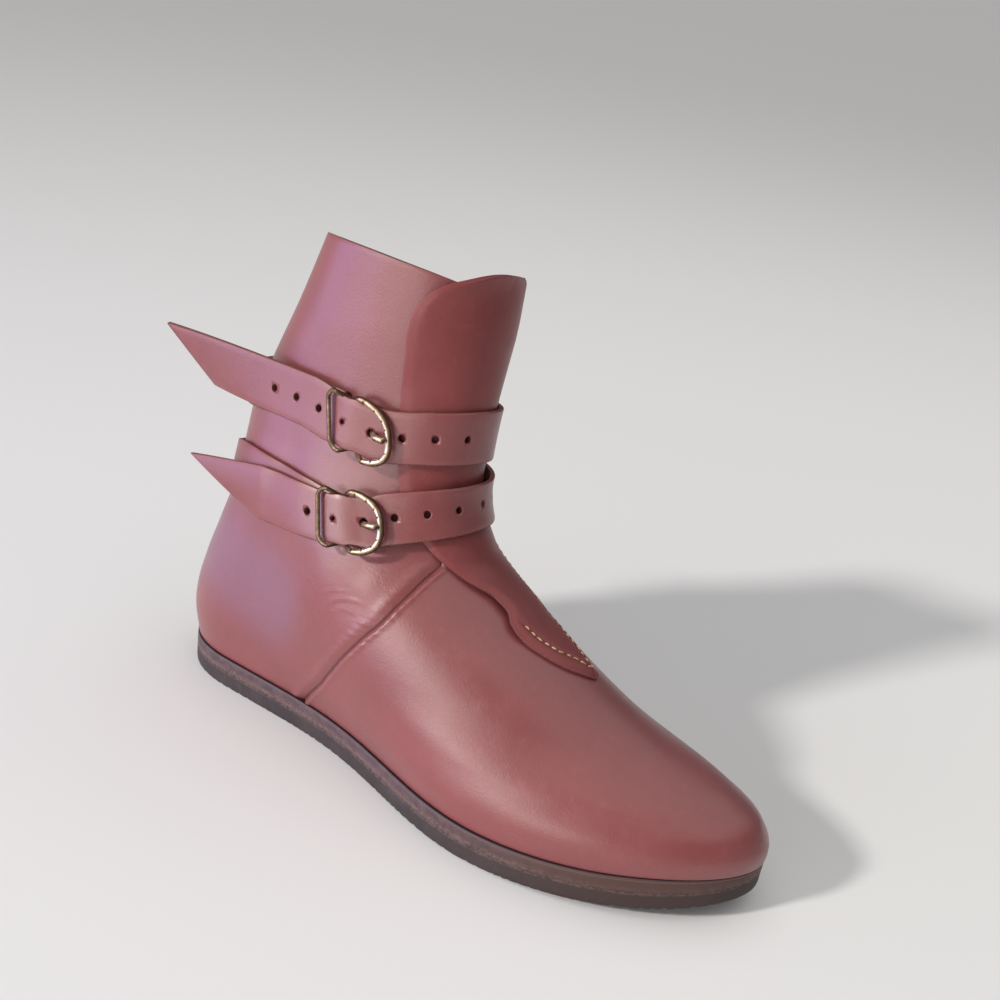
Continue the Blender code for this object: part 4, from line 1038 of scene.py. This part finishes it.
# The buckles. Each frame is one bent brass wire with a bar across it: a square loop behind the bar and a
# round bow in front, notched across like a row of beads. The pin comes up through a strap hole and lies
# on the bow. The brass has gone brown in the hollows and is rubbed bright on the high spots.
LOOP_LENGTH, LOOP_HALF_HEIGHT, LOOP_CORNER = 9.3, 11.8, 4.6
BOW_LENGTH, BOW_HALF_HEIGHT, BOW_POWER = 19.2, 12.2, 2.6
WAIST, WAIST_LENGTH = 0.24, 3.6
WIRE_RADIUS, LOOP_RADIUS, BAR_RADIUS, PIN_RADIUS = 1.45, 0.95, 1.05, 1.15
THICKER_FROM, THICKER_TO, BAR_HALF = 2.0, 11.0, 9.0
BAR_LIFT, LOOP_LIFT, BOW_LIFT = 2.1, 7.3, 7.0
LOOP_RISE, BOW_RISE, CLEAR = 5.0, 6.0, 0.3
NOTCH_ANGLES = (-72.0, -58.0, -41.0, -24.0, 2.0, 19.0, 33.0, 49.0, 66.0)
NOTCH_DEPTH, NOTCH_WIDTH, NOTCH_FROM, NOTCH_ARC, NOTCH_REACH = 0.30, 0.32, 3.0, 0.9, 0.35
PIN_ROOT, PIN_SWELL, PIN_END, PIN_END_LEAST = 0.95, 0.25, 0.05, 0.12
BRASS_DARK, BRASS_BROWN, BRASS_BRIGHT = (0.120, 0.075, 0.048), (0.400, 0.290, 0.190), (0.66, 0.59, 0.48)
WIRE_SIDES, RING_POINTS, BAR_POINTS, PIN_POINTS = 20, 420, 12, 70


def swept_wire(name, line, radii, closed, notches=0.0):
    """A round wire along a line of points, with its own radius at each point and notches on one side."""
    step = np.roll(line, -1, axis=0) - np.roll(line, 1, axis=0)
    if not closed:
        step[0], step[-1] = line[1] - line[0], line[-1] - line[-2]
    run = step / np.linalg.norm(step, axis=1, keepdims=True)
    side = np.cross(run, (0.0, 0.0, 1.0))
    short = np.linalg.norm(side, axis=1) < 0.05
    side[short] = (0.0, 1.0, 0.0)
    side /= np.linalg.norm(side, axis=1, keepdims=True)
    up = np.cross(side, run)
    angle = np.arange(WIRE_SIDES) * 2.0 * np.pi / WIRE_SIDES
    ring = side[:, None, :] * np.cos(angle)[None, :, None] + up[:, None, :] * np.sin(angle)[None, :, None]
    inner = np.clip(NOTCH_REACH - np.cos(angle), 0.0, 1.0)[None, :]
    cuts = np.broadcast_to(notches, len(line))[:, None] * inner
    thick = radii[:, None] - cuts
    points = line[:, None, :] + ring * thick[..., None]
    rows = len(line)
    faces = []
    for row in range(rows if closed else rows - 1):
        low, high = row * WIRE_SIDES, ((row + 1) % rows) * WIRE_SIDES
        for corner in range(WIRE_SIDES):
            after = (corner + 1) % WIRE_SIDES
            faces.append((low + corner, low + after, high + after, high + corner))
    if not closed:
        faces.append(tuple(reversed(range(WIRE_SIDES))))
        faces.append(tuple((rows - 1) * WIRE_SIDES + corner for corner in range(WIRE_SIDES)))
    mesh = face_mesh(name, points, faces, [0] * len(faces), [True] * len(faces))
    worn = np.clip(0.50 - 0.50 * np.cos(angle) + 0.30 * np.sin(angle), 0.0, 1.0)[None, :]
    add_mark(mesh, "high", worn * (thick / WIRE_RADIUS) ** 2 - 2.0 * cuts)
    face_outward(mesh)
    return mesh


def smooth_line(points, count, closed):
    """Evenly spaced points on a smooth curve through a few points."""
    points = np.asarray(points, float)
    table = np.concatenate([points[-2:], points, points[:3]]) if closed else points
    fine = np.linspace(2.0, len(points) + 2.0, 1200) if closed else np.linspace(0.0, len(points) - 1.0, 1200)
    low = np.clip(fine.astype(int), 1 if closed else 0, len(table) - 2)
    before = table[np.maximum(low - 1, 0)]
    after = table[np.minimum(low + 2, len(table) - 1)]
    share = (fine - low)[:, None]
    start, end = table[low], table[low + 1]
    curve = 0.5 * (
        2.0 * start + (end - before) * share + (2.0 * before - 5.0 * start + 4.0 * end - after) * share ** 2
        + (3.0 * start - before - 3.0 * end + after) * share ** 3
    )
    length = length_along(curve)
    return at_lengths(np.linspace(0.0, length[-1], count, endpoint=not closed), length, curve)


def frame_line(skew):
    """Middle line of the outer wire: round bow in front of the bar, square loop behind it."""
    flat = []
    for angle in np.linspace(-90.0, 90.0, 31):
        out, side = np.cos(np.radians(angle)), np.sin(np.radians(angle))
        flat.append((
            BOW_LENGTH * out ** (2.0 / BOW_POWER),
            BOW_HALF_HEIGHT * np.sign(side) * abs(side) ** (2.0 / BOW_POWER),
        ))
    for side, turn_from in ((1.0, 90.0), (-1.0, 180.0)):
        for angle in np.linspace(turn_from, turn_from + 90.0, 8):
            flat.append((
                -LOOP_LENGTH + LOOP_CORNER + LOOP_CORNER * np.cos(np.radians(angle)),
                side * (LOOP_HALF_HEIGHT - LOOP_CORNER) + LOOP_CORNER * np.sin(np.radians(angle)),
            ))
    line = []
    for x, y in flat:
        share = min(x / BOW_RISE if x > 0.0 else -x / LOOP_RISE, 1.0)
        end = BOW_LIFT if x > 0.0 else LOOP_LIFT
        y = y * (1.0 - WAIST * bell(x, WAIST_LENGTH))
        line.append((x - y * skew, y, BAR_LIFT + (end - BAR_LIFT) * ease(share)))
    return line


brass = Finish("aged_brass_wire", 0.36, 1.0)
tarnish = brass.sum((brass.noise(2.4, 4.0, 0.65), 0.45), (brass.mark("high"), 0.62))
brass_dye = brass.blend(brass.between(tarnish, 0.36, 0.62), BRASS_DARK, BRASS_BROWN)
brass.colour(brass.blend(brass.between(tarnish, 0.62, 0.90), brass_dye, BRASS_BRIGHT))
brass.gloss(brass.between(tarnish, 0.40, 0.85, 0.50, 0.34))
brass.bump(brass.noise(0.9, 3.0), 0.05, 0.5)

over_bow = BOW_LIFT + WIRE_RADIUS + PIN_RADIUS + CLEAR
for name, (place, skew) in buckle_places.items():
    line = smooth_line(frame_line(skew), RING_POINTS, True)
    forward = line[:, 0] + line[:, 1] * skew
    bow_angle = np.degrees(np.arctan2(line[:, 1] / BOW_HALF_HEIGHT, forward / BOW_LENGTH))
    radii = LOOP_RADIUS + (WIRE_RADIUS - LOOP_RADIUS) * ramp(forward, THICKER_FROM, THICKER_TO)
    notches = np.zeros(len(line))
    for notch in NOTCH_ANGLES:
        arc = np.radians(bow_angle - notch) * BOW_LENGTH * NOTCH_ARC
        notches += NOTCH_DEPTH * bell(arc, NOTCH_WIDTH) * (forward > NOTCH_FROM)
    ring_mesh = swept_wire("buckle_" + name + "_ring", line, radii, True, notches)
    bar_across = np.linspace(-BAR_HALF, BAR_HALF, BAR_POINTS)
    bar_line = np.stack([-bar_across * skew, bar_across, np.full(BAR_POINTS, BAR_LIFT)], axis=-1)
    bar_mesh = swept_wire("buckle_" + name + "_bar", bar_line, np.full(BAR_POINTS, BAR_RADIUS), False)
    pin_route = [
        (WIRE_RADIUS + 1.2, 0.0, 1.55), (6.0, 0.0, 1.35), (PIN_HOLE_AT - 1.6, 0.0, 1.35),
        (PIN_HOLE_AT - 0.5, 0.0, 2.2), (PIN_HOLE_AT + 0.4, 0.0, 4.4), (PIN_HOLE_AT + 1.8, 0.0, 6.6),
        (PIN_HOLE_AT + 4.0, 0.0, over_bow - 0.5), (BOW_LENGTH - 2.0, 0.0, over_bow),
        (BOW_LENGTH - 0.2, 0.0, over_bow),
    ]
    pin_line = smooth_line(pin_route, PIN_POINTS, False)
    pin_share = np.linspace(0.0, 1.0, PIN_POINTS)
    rounded_end = np.sqrt(np.clip((1.0 - pin_share) / PIN_END, PIN_END_LEAST, 1.0))
    pin_radii = PIN_RADIUS * (PIN_ROOT + PIN_SWELL * pin_share) * rounded_end
    pin_mesh = swept_wire("buckle_" + name + "_tongue", pin_line, pin_radii, False)
    for mesh in (ring_mesh, bar_mesh, pin_mesh):
        mesh.transform(place)
    brass_look = (brass.material,), "aged_brass"
    show_piece("buckle_" + name + "_ring", ring_mesh, *brass_look, "buckle_" + name + "_frame")
    show_piece("buckle_" + name + "_bar", bar_mesh, *brass_look)
    show_piece("buckle_" + name + "_tongue", pin_mesh, *brass_look, "buckle_" + name + "_pin")

# The studio. A plain pale floor, a warm key light from the outer side, a long low window light beside it, a
# cool strip low by the heel, a wide soft light overhead, and the camera at the photograph's angle, rolled as
# that one was.
FLOOR_SIZE, FLOOR_COLOUR = 40.0, (0.82, 0.82, 0.82, 1.0)
SKY_COLOUR, SKY_STRENGTH = (0.95, 0.96, 1.0, 1.0), 0.20
floor_mesh = bpy.data.meshes.new("floor")
build = bmesh.new()
bmesh.ops.create_grid(build, x_segments=1, y_segments=1, size=FLOOR_SIZE / 2.0)
build.to_mesh(floor_mesh)
build.free()
floor = bpy.data.objects.new("floor", floor_mesh)
bpy.context.scene.collection.objects.link(floor)
floor_finish = Finish("pale_floor", 0.9)
floor_finish.shader.inputs["Base Color"].default_value = FLOOR_COLOUR
floor_finish.shader.inputs["Specular IOR Level"].default_value = 0.1
floor_mesh.materials.append(floor_finish.material)

world = bpy.data.worlds.new("studio")
world.use_nodes = True
world.node_tree.nodes["Background"].inputs["Color"].default_value = SKY_COLOUR
world.node_tree.nodes["Background"].inputs["Strength"].default_value = SKY_STRENGTH
bpy.context.scene.world = world
AIM = Vector((-6.2, 3.8, 95.1)) * MM
LIGHTS = (
    # name, kind, direction from the boot, distance, width in metres or degrees, height, strength, colour
    ("key", "SUN", (-0.40, -0.78, 0.48), 1.5, 6.0, 0.0, 2.15, (1.0, 0.96, 0.91)),
    ("low_window", "AREA", (-0.14, -0.98, 0.12), 1.1, 1.2, 0.24, 5.2, (1.0, 0.97, 0.94)),
    ("cool_side", "AREA", (-0.76, -0.64, 0.04), 1.1, 0.9, 0.24, 3.2, (0.45, 0.48, 1.0)),
    ("overhead", "AREA", (0.16, 0.10, 0.97), 1.3, 2.2, 2.2, 12.0, (1.0, 0.98, 0.95)),
)
for name, kind, direction, distance, width, height, strength, colour in LIGHTS:
    data = bpy.data.lights.new(name, kind)
    if kind == "SUN":
        data.angle = np.radians(width)
    else:
        data.shape = "RECTANGLE"
        data.size, data.size_y = width, height
    data.energy = strength
    data.color = colour
    lamp = bpy.data.objects.new(name, data)
    lamp.location = AIM + Vector(direction).normalized() * distance
    lamp.rotation_euler = (AIM - lamp.location).to_track_quat("-Z", "Y").to_euler()
    bpy.context.scene.collection.objects.link(lamp)
bpy.context.scene.view_settings.view_transform = "Standard"

AZIMUTH, ELEVATION, ROLL, DISTANCE = np.radians(32.34), np.radians(26.66), np.radians(-8.94), 0.5644
SENSOR_WIDTH, LENS, SHIFT_X, SHIFT_Y = 36.0, 48.17, 0.030, 0.067
camera_data = bpy.data.cameras.new("camera")
camera_data.sensor_width = SENSOR_WIDTH
camera_data.lens = LENS
camera_data.shift_x, camera_data.shift_y = SHIFT_X, SHIFT_Y
camera = bpy.data.objects.new("camera", camera_data)
back = np.array((
    np.sin(AZIMUTH) * np.cos(ELEVATION), -np.cos(AZIMUTH) * np.cos(ELEVATION), np.sin(ELEVATION),
))
right = np.array((np.cos(AZIMUTH), np.sin(AZIMUTH), 0.0))
up = np.cross(back, right)
rolled_right = np.cos(ROLL) * right - np.sin(ROLL) * up
rolled_up = np.sin(ROLL) * right + np.cos(ROLL) * up
camera_place = Matrix.Identity(4)
for axis in range(3):
    camera_place[axis] = (rolled_right[axis], rolled_up[axis], back[axis], AIM[axis] + back[axis] * DISTANCE)
camera.matrix_world = camera_place
bpy.context.scene.collection.objects.link(camera)
bpy.context.scene.camera = camera
